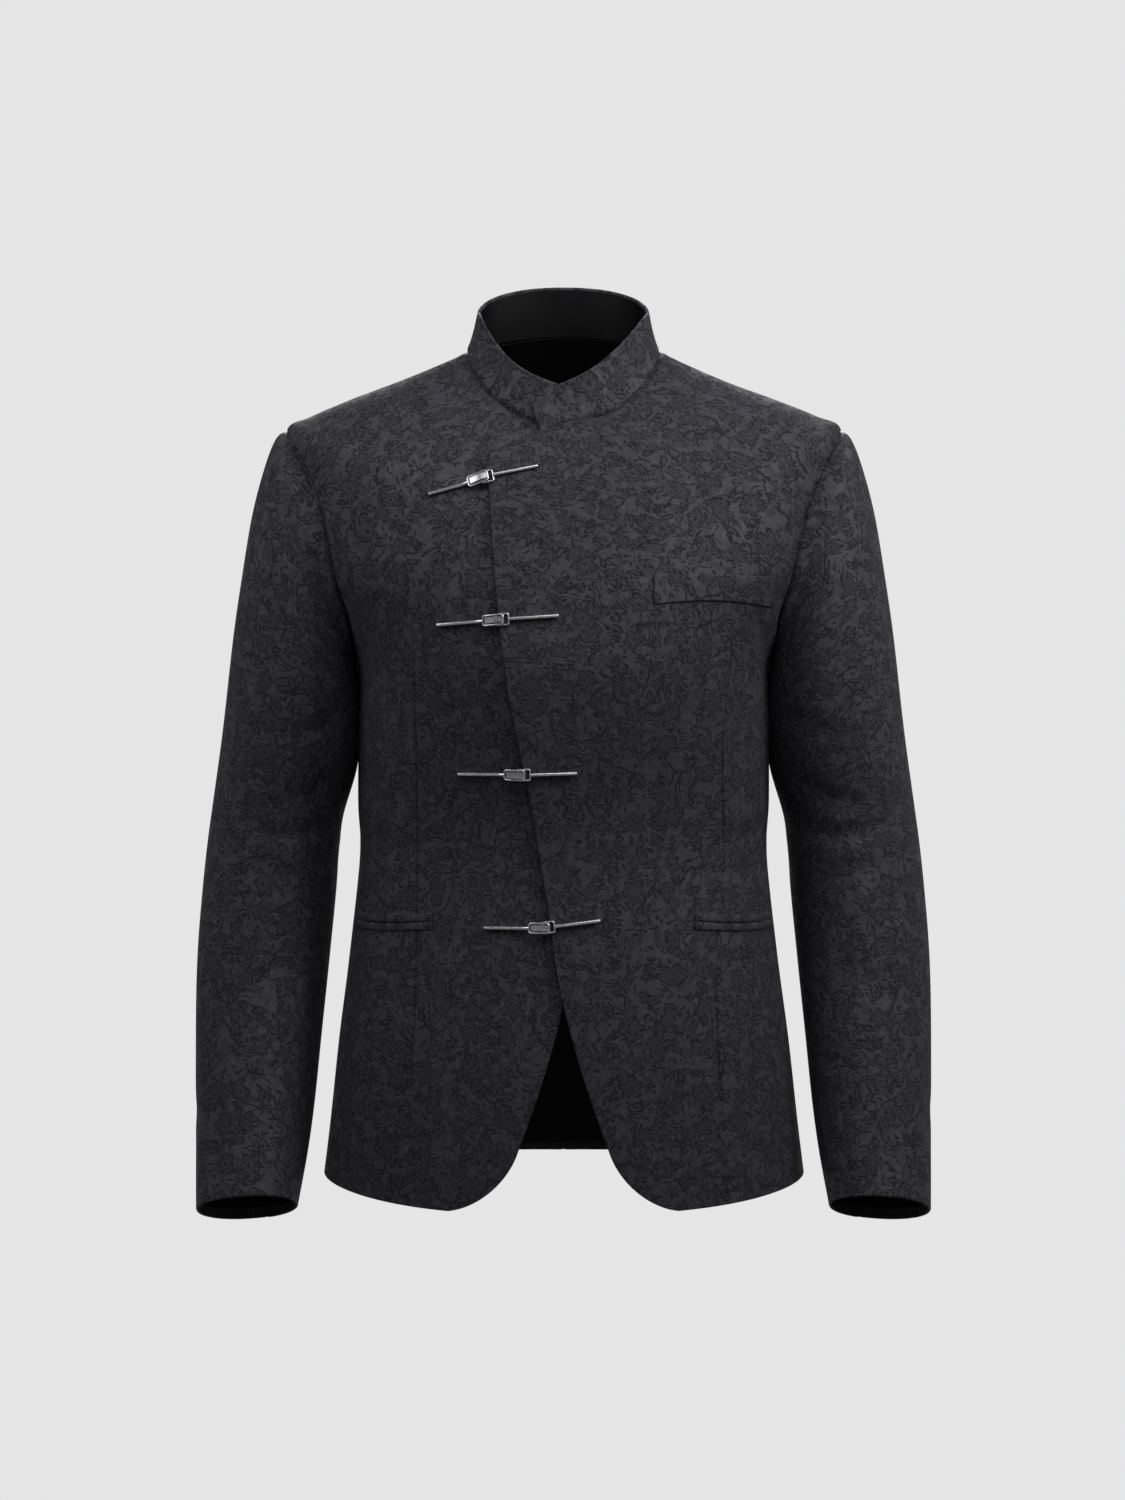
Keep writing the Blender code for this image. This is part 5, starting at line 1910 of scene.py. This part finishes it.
@dataclass
class Pockets:
    """The chest pocket's welt and the jets of the two side pockets."""

    form: BodyForm
    finishes: Finishes
    off: float = 0.25
    cloth: float = 1.0
    welt_inner_x: float = 72.4
    welt_outer_x: float = 172.0
    welt_top_z: float = -192.5
    welt_bottom_z: float = -217.0
    welt_arch: float = 4.0
    welt_length: float = 100.0
    welt_width: float = 24.0
    step: float = 2.0
    jet_inner_x: float = 106.4
    jet_outer_turn: float = math.radians(13)
    jet_top_z: float = -466.5
    jet_width: float = 6.3
    jet_gap: float = 0.6
    jet_droop: float = 2.5
    jet_round: float = 0.5
    jet_sunk: float = 0.2
    jet_length: float = 78.0
    jet_step: float = 0.8

    def raised(self, level: Array, turn: Array, side: Side) -> Pair:
        """Outer points and normals of a strip that lies on a front."""
        return self.form.laid(level, turn, side, self.off + self.cloth, lifted=side is Side.LEFT)

    def strip(self, name: str, outer: Array, normals: Array, start: tuple[float, float]) -> ClothPanel:
        """A folded strip of cloth, turned on all four edges.

        Args:
            name: The piece's name.
            outer: Its outer points.
            normals: The directions out of them.
            start: Where its own cloth lies on the pattern, in metres.

        Returns:
            The panel.
        """
        return ClothPanel(
            name=name,
            outer=outer,
            normals=normals,
            cloth=self.cloth,
            turned={edge: 1.0 for edge in Edge},
            facing_everywhere=True,
            edge_reach=2.6,
            uv_from=start,
        )

    def welt(self) -> ClothPanel:
        """The chest welt, arched along its lower edge."""
        along = graded(self.welt_length, self.step)
        x = self.welt_inner_x + (self.welt_outer_x - self.welt_inner_x) * along
        low = self.welt_bottom_z + self.welt_arch * np.sin(math.pi * along)
        z = low + (self.welt_top_z - low) * graded(self.welt_width, self.step)[:, None]
        outer, normals = self.raised(*self.form.place_at(np.broadcast_to(x, z.shape), z), Side.LEFT)
        return self.strip("chest_welt_cloth", outer, normals, (0.52, 0.55))

    def jet(self, side: Side, which: str) -> ClothPanel:
        """One jet, rounded like a narrow piping.

        Args:
            side: The pocket's side.
            which: "upper" or "lower".

        Returns:
            The panel.
        """
        top = self.jet_top_z if which == "upper" else self.jet_top_z - self.jet_width - self.jet_gap
        _, start = self.form.place_at(self.jet_inner_x, top - self.jet_width / 2)
        along = graded(self.jet_length, self.step)
        turn = start + (self.jet_outer_turn - start) * along
        f = graded(self.jet_width, self.jet_step, fine_start=False, fine_end=False)[:, None]
        z = top - self.jet_width * (1 - f) - self.jet_droop * np.sin(math.pi * along)
        turn = np.broadcast_to(turn, z.shape)
        outer, normals = self.raised(self.form.level_at_height(turn, z), turn, side)
        outer = outer + normals * (self.jet_round * np.sin(math.pi * f) - self.jet_sunk)[..., None]
        return self.strip(f"pocket_{side.word}_{which}_jet_cloth", outer, normals, (0.3, 0.8))

    def build(self) -> dict[str, Piece]:
        """Builds the five pieces and returns them by node name."""
        made = {}
        cloth = self.finishes.jacquard
        made["chest_welt"] = place_piece(self.welt().build(cloth, cloth), "jacquard", ["chest_welt"])
        for side in Side:
            for which in ("upper", "lower"):
                node = f"pocket_{side.word}_{which}_jet"
                made[node] = place_piece(self.jet(side, which).build(cloth, cloth), "jacquard", [node])
        return made


class Clasp(NamedTuple):
    """One clasp in front view, as x and z: the hook's rod end, the buckle's middle, the loop's rod end."""

    hook: tuple[float, float]
    middle: tuple[float, float]
    loop: tuple[float, float]


@dataclass
class Clasps:
    """Four fastened metal clasps, numbered from the collar down."""

    form: BodyForm
    finishes: Finishes
    places: tuple[Clasp, ...] = (
        Clasp((-109.4, -126.7), (-67.0, -115.3), (-20.7, -106.3)),
        Clasp((-102.2, -233.0), (-54.0, -229.6), (-3.6, -226.5)),
        Clasp((-85.2, -353.4), (-36.8, -353.6), (10.9, -352.2)),
        Clasp((-64.2, -477.8), (-17.4, -478.2), (29.5, -472.2)),
    )
    rod_radius: float = 1.4
    rod_points: int = 16
    wire_radius: float = 0.7
    metal_off: float = 0.35
    hook_from: float = -10.6
    hook_to: float = 6.0
    hook_half: float = 3.9
    hook_corner: float = 2.3
    ramp_from: float = -18.0
    ramp_to: float = 1.0
    plate_from: float = -9.0
    plate_half: float = 2.5
    plate_rim: float = 0.55
    plate_rise: float = 0.22
    plate_thick: float = 0.9
    plate_bevel: float = 0.2
    plate_rim_in: float = 0.15
    plate_end: float = 0.9
    plate_rings: int = 14
    tongue_half: float = 1.9
    tongue_depth: float = 2.0
    tongue_length: float = 1.1
    tip_lap: float = 0.2
    tip: tuple[float, ...] = (0.0, 0.08, 0.3, 0.7, 1.2)
    tip_shares: tuple[float, ...] = (0.35, 0.6, 0.83, 0.96, 1.0)
    straight_from: float = 2.5
    corner_share: float = 0.45
    loop_from: float = 0.4
    loop_to: float = 10.2
    loop_half: float = 4.4
    loop_corner: float = 1.4
    sides: int = 16

    def hook_rise(self, u: Array) -> Array:
        """How high the hook's middle line runs over the right front, at distances along the clasp."""
        low = self.metal_off + self.rod_radius
        high = self.form.lift + 2 * self.metal_off + 3 * self.wire_radius
        return low + (high - low) * ease((u - self.ramp_from) / (self.ramp_to - self.ramp_from))

    def over_chest(self, clasp: Clasp, hook: bool, radius: float = 0.0) -> Places:
        """Gives points over the chest and the directions away from it.

        Args:
            clasp: The clasp.
            hook: Whether its hook half is meant, which rises over the right front.
            radius: Half the thickness of what lies on the left front.

        Returns:
            A function of the two distances, from the middle of the buckle towards the wearer's left and up.
        """
        start = np.array(clasp.middle)
        along = unit(np.array(clasp.hook if hook else clasp.loop) - start)
        across = np.array([-along[1], along[0]])
        sign = -1 if hook else 1

        def at(u: Array, v: Array) -> Pair:
            """The points and directions at distances u along and v across the clasp."""
            x, z = (start + sign * u[:, None] * along + v[:, None] * across).T
            off = self.hook_rise(u) if hook else self.metal_off + radius
            return self.form.laid(*self.form.place_at(x, z), Side.LEFT, off, lifted=not hook)

        return at

    @staticmethod
    def skin(rings: int, sides: int, closed: bool) -> Faces:
        """The faces round a row of rings of points.

        Args:
            rings: How many rings there are.
            sides: How many points a ring has.
            closed: Whether the last ring meets the first; otherwise both ends get a cap.

        Returns:
            The vertex numbers of each face.
        """
        faces = []
        for i in range(rings if closed else rings - 1):
            a = i * sides
            b = (i + 1) % rings * sides
            for k in range(sides):
                n = (k + 1) % sides
                faces.append((a + n, a + k, b + k, b + n))
        if not closed:
            faces.append(tuple(range(sides)))
            faces.append(tuple(range(rings * sides - 1, (rings - 1) * sides - 1, -1)))
        return faces

    def tube(self, points: Array, normals: Array, radii: Array, closed: bool) -> tuple[Array, Faces]:
        """A round wire through points.

        Args:
            points: Its middle line.
            normals: The direction away from the cloth, for each point.
            radii: Its radius at each point.
            closed: Whether it runs on from its last point to its first.

        Returns:
            Its vertices and faces.
        """
        if closed:
            along = unit(np.roll(points, -1, axis=0) - np.roll(points, 1, axis=0))
        else:
            along = unit(np.gradient(points, axis=0))
        side = unit(np.cross(along, normals))
        up = np.cross(side, along)
        angle = 2 * math.pi * np.arange(self.sides) / self.sides
        ring = np.cos(angle)[None, :, None] * side[:, None] + np.sin(angle)[None, :, None] * up[:, None]
        vertices = (points[:, None] + radii[:, None, None] * ring).reshape(-1, 3)
        return vertices, self.skin(len(points), self.sides, closed)

    def rounded(self, corners: list[tuple[float, float]], radius: float, steps: int = 5) -> Array:
        """A closed outline through corners, each cut by an arc-like curve.

        Args:
            corners: The corners in order.
            radius: How far from each corner its curve starts.
            steps: The points of each curve, less one.

        Returns:
            The outline's points.
        """
        outline = []
        for i, corner in enumerate(corners):
            here = np.array(corner, float)
            before = np.array(corners[i - 1], float)
            after = np.array(corners[(i + 1) % len(corners)], float)
            start, end = (
                here + unit(there - here) * min(radius, np.linalg.norm(there - here) * self.corner_share)
                for there in (before, after)
            )
            for f in np.linspace(0, 1, steps + 1):
                outline.append(start * (1 - f) ** 2 + 2 * here * f * (1 - f) + end * f**2)
        return np.array(outline)

    def frame(self, at: Places, ends: tuple[float, float], half: float, corner: float) -> tuple[Array, Faces]:
        """A closed wire frame: a rectangle with rounded corners.

        Args:
            at: Gives points and normals for distances along and across the clasp.
            ends: Its two ends along the clasp.
            half: Half its width.
            corner: How far its corners are rounded.

        Returns:
            Its vertices and faces.
        """
        start, end = ends
        outline = self.rounded([(start, -half), (end, -half), (end, half), (start, half)], corner)
        return self.tube(*at(*outline.T), np.full(len(outline), self.wire_radius), True)

    def rod(self, at: Places, start: float, end: float) -> tuple[Array, Faces]:
        """A straight rod with a blunt rounded tip at its far end.

        Args:
            at: Gives points and normals for distances along and across the clasp.
            start: The distance of its free tip.
            end: The distance at which it meets the buckle.

        Returns:
            Its vertices and faces.
        """
        inwards = math.copysign(1.0, end - start)
        straight = np.linspace(start + inwards * self.straight_from, end, self.rod_points)
        u = np.concatenate([start + inwards * np.array(self.tip), straight])
        radii = self.rod_radius * np.concatenate([self.tip_shares, np.ones(self.rod_points)])
        return self.tube(*at(u, np.zeros(u.shape)), radii, False)

    def plate(self, at: Places) -> tuple[Array, Faces]:
        """The hook's plate: a thin bar with two raised rims.

        Args:
            at: Gives points and normals for distances along and across the clasp.

        Returns:
            Its vertices and faces.
        """
        half = self.plate_half
        rim = self.plate_rim
        top = self.plate_thick / 2
        high = top + self.plate_rise
        bevel = self.plate_bevel
        outer = -half + self.plate_rim_in
        left = [(-half, top), (outer, high), (-half + rim, high), (-half + rim + bevel, top)]
        right = [(-v, w) for v, w in reversed(left)]
        v, w = np.array(left + right + [(half, -top), (-half, -top)]).T
        along = np.linspace(self.plate_from + self.plate_bevel, self.hook_to, self.plate_rings)
        rings = []
        for u, size in [(self.plate_from, self.plate_end)] + [(u, 1.0) for u in along]:
            points, normals = at(np.full(len(v), u), v * size)
            rings.append(points + normals * (w * size)[:, None])
        return np.concatenate(rings), self.skin(len(rings), len(v), False)

    def tongue(self, at: Places) -> tuple[Array, Faces]:
        """The plate's end, turned down behind the loop.

        Args:
            at: Gives points and normals for distances along and across the clasp.

        Returns:
            Its vertices and faces.
        """
        ends = (self.hook_to - self.tongue_length, self.hook_to + self.tip_lap)
        points, normals = at(np.repeat(ends, 2), np.array([-1.0, 1.0, -1.0, 1.0]) * self.tongue_half)
        vertices = np.concatenate([points - normals * self.tongue_depth, points + normals * self.tip_lap])
        return vertices, [(0, 1, 3, 2), (4, 6, 7, 5), (0, 4, 5, 1), (2, 3, 7, 6), (0, 2, 6, 4), (1, 5, 7, 3)]

    def join(self, node: str, wires: list[tuple[Array, Faces]], plates: list[tuple[Array, Faces]]) -> None:
        """Joins parts into one piece that stands for a node.

        Args:
            node: The CAD node.
            wires: Vertices and faces of each polished part.
            plates: Vertices and faces of each brushed part.
        """
        faces = []
        slots = []
        total = 0
        for i, (vertices, its_faces) in enumerate(wires + plates):
            faces += [tuple(int(k) + total for k in face) for face in its_faces]
            slots += [int(i >= len(wires))] * len(its_faces)
            total += len(vertices)
        points = np.concatenate([vertices for vertices, _ in wires + plates])
        materials = [self.finishes.polished, self.finishes.brushed]
        piece = mesh_object(f"{node}_metal", points, faces, materials, np.array(slots), sharp=35.0)
        self.turn_outwards(piece)
        place_piece(piece, "silver_metal", [node])

    @staticmethod
    def turn_outwards(piece: Piece) -> None:
        """Makes every closed part's faces point out of it."""
        bm = bmesh.new()
        bm.from_mesh(piece.data)
        bmesh.ops.recalc_face_normals(bm, faces=bm.faces)
        bm.to_mesh(piece.data)
        bm.free()

    def hook(self, number: int, clasp: Clasp) -> None:
        """The hook half: rod, wire frame, and a brushed plate that reaches over the loop."""
        at = self.over_chest(clasp, hook=True)
        frame = self.frame(at, (self.hook_from, self.hook_to), self.hook_half, self.hook_corner)
        rod = self.rod(at, -math.dist(clasp.middle, clasp.hook), self.hook_from + self.tip_lap)
        self.join(f"clasp_{number}_hook", [frame, rod], [self.plate(at), self.tongue(at)])

    def loop(self, number: int, clasp: Clasp) -> None:
        """The loop half: a square wire loop at the front edge and a rod on the left front."""
        at = self.over_chest(clasp, hook=False, radius=self.wire_radius)
        frame = self.frame(at, (self.loop_from, self.loop_to), self.loop_half, self.loop_corner)
        at = self.over_chest(clasp, hook=False, radius=self.rod_radius)
        rod = self.rod(at, math.dist(clasp.middle, clasp.loop), self.loop_to)
        self.join(f"clasp_{number}_loop", [frame, rod], [])

    def build(self) -> None:
        """Builds the eight halves."""
        for number, clasp in enumerate(self.places, 1):
            self.hook(number, clasp)
            self.loop(number, clasp)


@dataclass
class Stitches:
    """Rows of hand stitches, laid along paths by a node tree."""

    form: BodyForm
    finishes: Finishes
    pockets: Pockets
    pitch: float = 2.4
    length: float = 1.5
    radius: float = 0.18
    welt_inset: float = 1.6
    welt_end: float = 1.8
    welt_off: float = 0.05
    tack_inset: float = 1.0
    tack_turn: float = math.radians(1.2)
    tack_end: float = 1.2
    tack_off: float = 0.25
    lining_row: int = 4
    lining_off: float = 0.1

    def tree(self) -> bpy.types.NodeTree:
        """The tree that sets one thread after another along the edges of a path."""
        tree = bpy.data.node_groups.new("stitch row", "GeometryNodeTree")
        face = tree.interface
        face.new_socket("Path", in_out="INPUT", socket_type="NodeSocketGeometry")
        for label, value in (("Pitch", self.pitch), ("Length", self.length), ("Radius", self.radius)):
            face.new_socket(label, in_out="INPUT", socket_type="NodeSocketFloat").default_value = value * MM
        face.new_socket("Thread", in_out="INPUT", socket_type="NodeSocketMaterial")
        face.new_socket("Stitches", in_out="OUTPUT", socket_type="NodeSocketGeometry")
        graph = Graph(tree)
        given = graph.node("NodeGroupInput").outputs
        curve = graph.take("GeometryNodeMeshToCurve", "Curve", inputs={"Mesh": given["Path"]})
        inputs = {"Curve": curve, "Length": given["Pitch"]}
        points = graph.outputs("GeometryNodeCurveToPoints", {"mode": "LENGTH"}, inputs)
        inputs = {"Segments": 8, "Rings": 6, "Radius": 1.0}
        thread = graph.take("GeometryNodeMeshUVSphere", "Mesh", inputs=inputs)
        inputs = {"Vector": points["Tangent"]}
        aim = graph.take("FunctionNodeAlignRotationToVector", "Rotation", {"axis": "Z"}, inputs)
        half = graph.math("MULTIPLY", given["Length"], 0.5)
        inputs = {"X": given["Radius"], "Y": given["Radius"], "Z": half}
        size = graph.take("ShaderNodeCombineXYZ", "Vector", inputs=inputs)
        inputs = {"Points": points["Points"], "Instance": thread, "Rotation": aim, "Scale": size}
        rows = graph.take("GeometryNodeInstanceOnPoints", "Instances", inputs=inputs)
        real = graph.take("GeometryNodeRealizeInstances", "Geometry", inputs={"Geometry": rows})
        smooth = graph.take("GeometryNodeSetShadeSmooth", "Geometry", inputs={"Geometry": real})
        inputs = {"Geometry": smooth, "Material": given["Thread"]}
        dressed = graph.take("GeometryNodeSetMaterial", "Geometry", inputs=inputs)
        graph.feed(graph.node("NodeGroupOutput").inputs["Stitches"], dressed)
        return graph.arrange()

    def on_welt(self) -> list[Array]:
        """The two short rows that hold the ends of the chest welt."""
        paths = []
        pockets = self.pockets
        for x in (pockets.welt_inner_x + self.welt_inset, pockets.welt_outer_x - self.welt_inset):
            z = np.linspace(pockets.welt_bottom_z + self.welt_end, pockets.welt_top_z - self.welt_end, 12)
            points, normals = pockets.raised(*self.form.place_at(np.full(z.shape, x), z), Side.LEFT)
            paths.append(points + normals * self.welt_off)
        return paths

    def on_jets(self, side: Side) -> list[Array]:
        """The bar tacks at the ends of a side pocket."""
        paths = []
        pockets = self.pockets
        depth = 2 * pockets.jet_width + pockets.jet_gap
        x = pockets.jet_inner_x + self.tack_inset
        _, inner = self.form.place_at(x, pockets.jet_top_z - pockets.jet_width)
        for turn_at in (float(inner), pockets.jet_outer_turn + self.tack_turn):
            z = pockets.jet_top_z - np.linspace(self.tack_end, depth - self.tack_end, 8)
            turn = np.full(z.shape, turn_at)
            points, normals = pockets.raised(self.form.level_at_height(turn, z), turn, side)
            paths.append(points + normals * self.tack_off)
        return paths

    def on_lining(self, panel: ClothPanel) -> list[Array]:
        """The row that holds the back lining's lower edge."""
        _, inner = panel.shaped()
        return [inner[self.lining_row] - self.lining_off * panel.normals[self.lining_row]]

    def row(self, name: str, paths: list[Array], slot: str) -> Piece:
        """Lays stitches along paths.

        Args:
            name: The piece's name.
            paths: The points of each path.
            slot: The record's material slot.

        Returns:
            The stitches as one plain mesh.
        """
        mesh = bpy.data.meshes.new(name)
        points = np.concatenate(paths) * MM
        edges = []
        total = 0
        for path in paths:
            edges += [(total + i, total + i + 1) for i in range(len(path) - 1)]
            total += len(path)
        mesh.from_pydata(points.tolist(), edges, [])
        guide = bpy.data.objects.new(name + "_path", mesh)
        bpy.context.scene.collection.objects.link(guide)
        laid = guide.modifiers.new("stitches", "NODES")
        tree = bpy.data.node_groups.get("stitch row") or self.tree()
        laid.node_group = tree
        for item in tree.interface.items_tree:
            if item.name == "Thread":
                laid[item.identifier] = self.finishes.thread
        bpy.context.view_layer.update()
        evaluated = guide.evaluated_get(bpy.context.evaluated_depsgraph_get())
        made = bpy.data.objects.new(name, bpy.data.meshes.new_from_object(evaluated))
        bpy.data.objects.remove(guide)
        bpy.context.scene.collection.objects.link(made)
        return place_piece(made, slot, [])

    def build(self, lining: ClothPanel) -> dict[str, Piece]:
        """Builds the rows and returns them by name."""
        made = {"welt": self.row("chest_welt_stitches", self.on_welt(), "jacquard")}
        for side in Side:
            made[side.word] = self.row(f"pocket_{side.word}_tacks", self.on_jets(side), "jacquard")
        made["lining"] = self.row("lining_hem_stitches", self.on_lining(lining), "lining")
        return made


@dataclass
class Studio:
    """The camera at the photo's angle, soft lights and a pale floor."""

    distance: float = 3.0
    camera_x: float = -0.0008
    camera_z: float = -0.334
    view_height: float = 1.26
    sensor: float = 36.0
    backdrop: float = 0.787
    ambient: float = 0.05
    mirrored: float = 0.22
    floor_z: float = -1.05
    floor_half: float = 12.0

    def camera(self) -> None:
        """Adds the camera."""
        data = bpy.data.cameras.new("camera")
        data.sensor_width = self.sensor
        data.lens = self.sensor * self.distance / self.view_height
        made = bpy.data.objects.new("camera", data)
        made.location = (self.camera_x, -self.distance, self.camera_z)
        made.rotation_euler = (QUARTER, 0.0, 0.0)
        bpy.context.scene.collection.objects.link(made)
        bpy.context.scene.camera = made

    def light(self, name: str, place: tuple, aim: tuple, size: float, power: float, colour: tuple) -> None:
        """Adds one square soft light.

        Args:
            name: Its name.
            place: Where it stands, in metres.
            aim: The point that it faces, in metres.
            size: The length of its side, in metres.
            power: Its power in watts.
            colour: Its colour.
        """
        data = bpy.data.lights.new(name, "AREA")
        data.size = size
        data.energy = power
        data.color = colour
        made = bpy.data.objects.new(name, data)
        made.location = place
        towards = np.array(aim) - np.array(place)
        flat = math.hypot(towards[0], towards[1])
        tilt = QUARTER + math.atan2(towards[2], flat)
        made.rotation_euler = (tilt, 0.0, math.atan2(-towards[0], towards[1]))
        made.visible_camera = False
        bpy.context.scene.collection.objects.link(made)

    def world(self) -> None:
        """A pale surround that the camera sees, and a dimmer one that lights the cloth."""
        world = bpy.data.worlds.new("studio")
        world.use_nodes = True
        bpy.context.scene.world = world
        graph = Graph(world.node_tree)
        world.node_tree.nodes.clear()
        seen, lit, shone = (
            graph.take("ShaderNodeBackground", 0, inputs={"Color": (grey, grey, grey, 1.0), "Strength": 1.0})
            for grey in (self.backdrop, self.ambient, self.mirrored)
        )
        path = graph.outputs("ShaderNodeLightPath")
        glossy = graph.take("ShaderNodeMixShader", 0, inputs={0: path["Is Glossy Ray"], 1: lit, 2: shone})
        mixed = graph.take("ShaderNodeMixShader", 0, inputs={0: path["Is Camera Ray"], 1: glossy, 2: seen})
        graph.node("ShaderNodeOutputWorld", inputs={"Surface": mixed})

    def floor(self) -> None:
        """A plain pale floor."""
        half = self.floor_half / MM
        z = self.floor_z / MM
        corners = np.array([(-half, -half, z), (half, -half, z), (half, half, z), (-half, half, z)])
        grey = (self.backdrop, self.backdrop, self.backdrop, 1.0)
        material = Surface("pale floor").dress(
            {
                "Base Color": (0.0, 0.0, 0.0, 1.0),
                "Specular IOR Level": 0.0,
                "Emission Color": grey,
                "Emission Strength": 1.0,
            }
        )
        floor = mesh_object("floor", corners, [(0, 1, 2, 3)], [material], np.zeros(1))
        floor.visible_diffuse = False
        floor.visible_glossy = False
        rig.stage(floor)

    def build(self) -> None:
        """Builds the studio."""
        self.camera()
        self.world()
        self.floor()
        self.light("key", (0.2, -0.74, 0.78), (0.0, 0.0, -0.15), 0.6, 4.2, (1.0, 0.99, 0.98))
        self.light("right", (1.2, -0.56, 0.62), (0.0, 0.0, -0.3), 0.5, 13.0, (1.0, 1.0, 1.0))
        self.light("left", (-1.1, -0.6, 0.62), (0.0, 0.0, -0.3), 0.7, 6.4, (0.97, 0.98, 1.0))
        self.light("back", (0.0, 2.6, 1.3), (0.0, 0.0, -0.3), 1.3, 40.0, (1.0, 1.0, 1.0))
        bpy.context.scene.view_settings.view_transform = "Standard"


CUTS = {
    "front_left": Cut(0.30, 0.74, 0.74, "draped", ["back_left_cloth", "front_right_cloth"]),
    "front_right": Cut(0.30, 0.74, 0.74, "draped", ["back_right_cloth"]),
    "back_left": Cut(0.28, 0.76, 0.80, "draped", ["sleeve_left_upper_cloth"]),
    "back_right": Cut(0.28, 0.76, 0.80, "draped", ["sleeve_right_upper_cloth"]),
    "lining_back": Cut(0.54, 0.75, 0.80, "hung", ["back_left_cloth", "back_right_cloth"]),
    "sleeve_left_upper": Cut(0.27, 0.67, 0.86, "draped", ["front_left_cloth", "back_left_cloth"]),
    "sleeve_left_under": Cut(0.14, 0.55, 0.85, "draped", ["sleeve_left_upper_cloth"]),
    "sleeve_right_upper": Cut(0.27, 0.67, 0.86, "draped", ["front_right_cloth", "back_right_cloth"]),
    "sleeve_right_under": Cut(0.14, 0.55, 0.85, "draped", ["sleeve_right_upper_cloth"]),
    "collar_band": Cut(0.46, 0.05, 0.95, "draped", ["back_left_cloth", "back_right_cloth"]),
}


def declare_cuts(pieces: dict[str, Piece], stitches: dict[str, Piece]) -> None:
    """States the cut of every panel, with the strips and stitches that lie on it.

    Args:
        pieces: All the cloth pieces by node name.
        stitches: The rows of stitches by name.
    """
    jets = {side: [pieces[f"pocket_{side.word}_{w}_jet"] for w in ("upper", "lower")] for side in Side}
    lying = {
        "front_left": [pieces["chest_welt"], stitches["welt"], stitches["left"], *jets[Side.LEFT]],
        "front_right": [stitches["right"], *jets[Side.RIGHT]],
        "lining_back": [stitches["lining"]],
    }
    for node, cut in CUTS.items():
        flat = (cut.width, cut.length)
        area = cut.width * cut.length * cut.share
        on_it = lying.get(node, [])
        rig.sheet(pieces[node], flat=flat, held=cut.held, rests_on=cut.rests_on, area=area, with_pieces=on_it)


def write_sizes(cad_box: tuple, own_box: tuple) -> None:
    """Writes the CAD box and the visual model's box."""
    boxes = {"cad": [list(corner) for corner in cad_box], "visual": [list(corner) for corner in own_box]}
    with open(SIZE_FILE, "w", encoding="utf-8") as out:
        json.dump(boxes, out)


def main() -> None:
    """Builds the scene piece by piece."""
    logging.basicConfig(level=logging.INFO, format="%(name)s: %(message)s")
    for old in list(bpy.data.objects):
        bpy.data.objects.remove(old)
    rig.load()
    cad_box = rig.bounds()
    form = BodyForm()
    finishes = Finishes.build()
    Studio().build()
    body = BodyPanels(form, finishes)
    pieces = body.build()
    pieces["collar_band"] = CollarBand(form, finishes).build()
    pieces.update(Sleeves(form, finishes).build())
    pockets = Pockets(form, finishes)
    pieces.update(pockets.build())
    Clasps(form, finishes).build()
    stitches = Stitches(form, finishes, pockets).build(body.lining())
    declare_cuts(pieces, stitches)
    write_sizes(cad_box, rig.bounds())


if __name__ == "__main__":
    main()
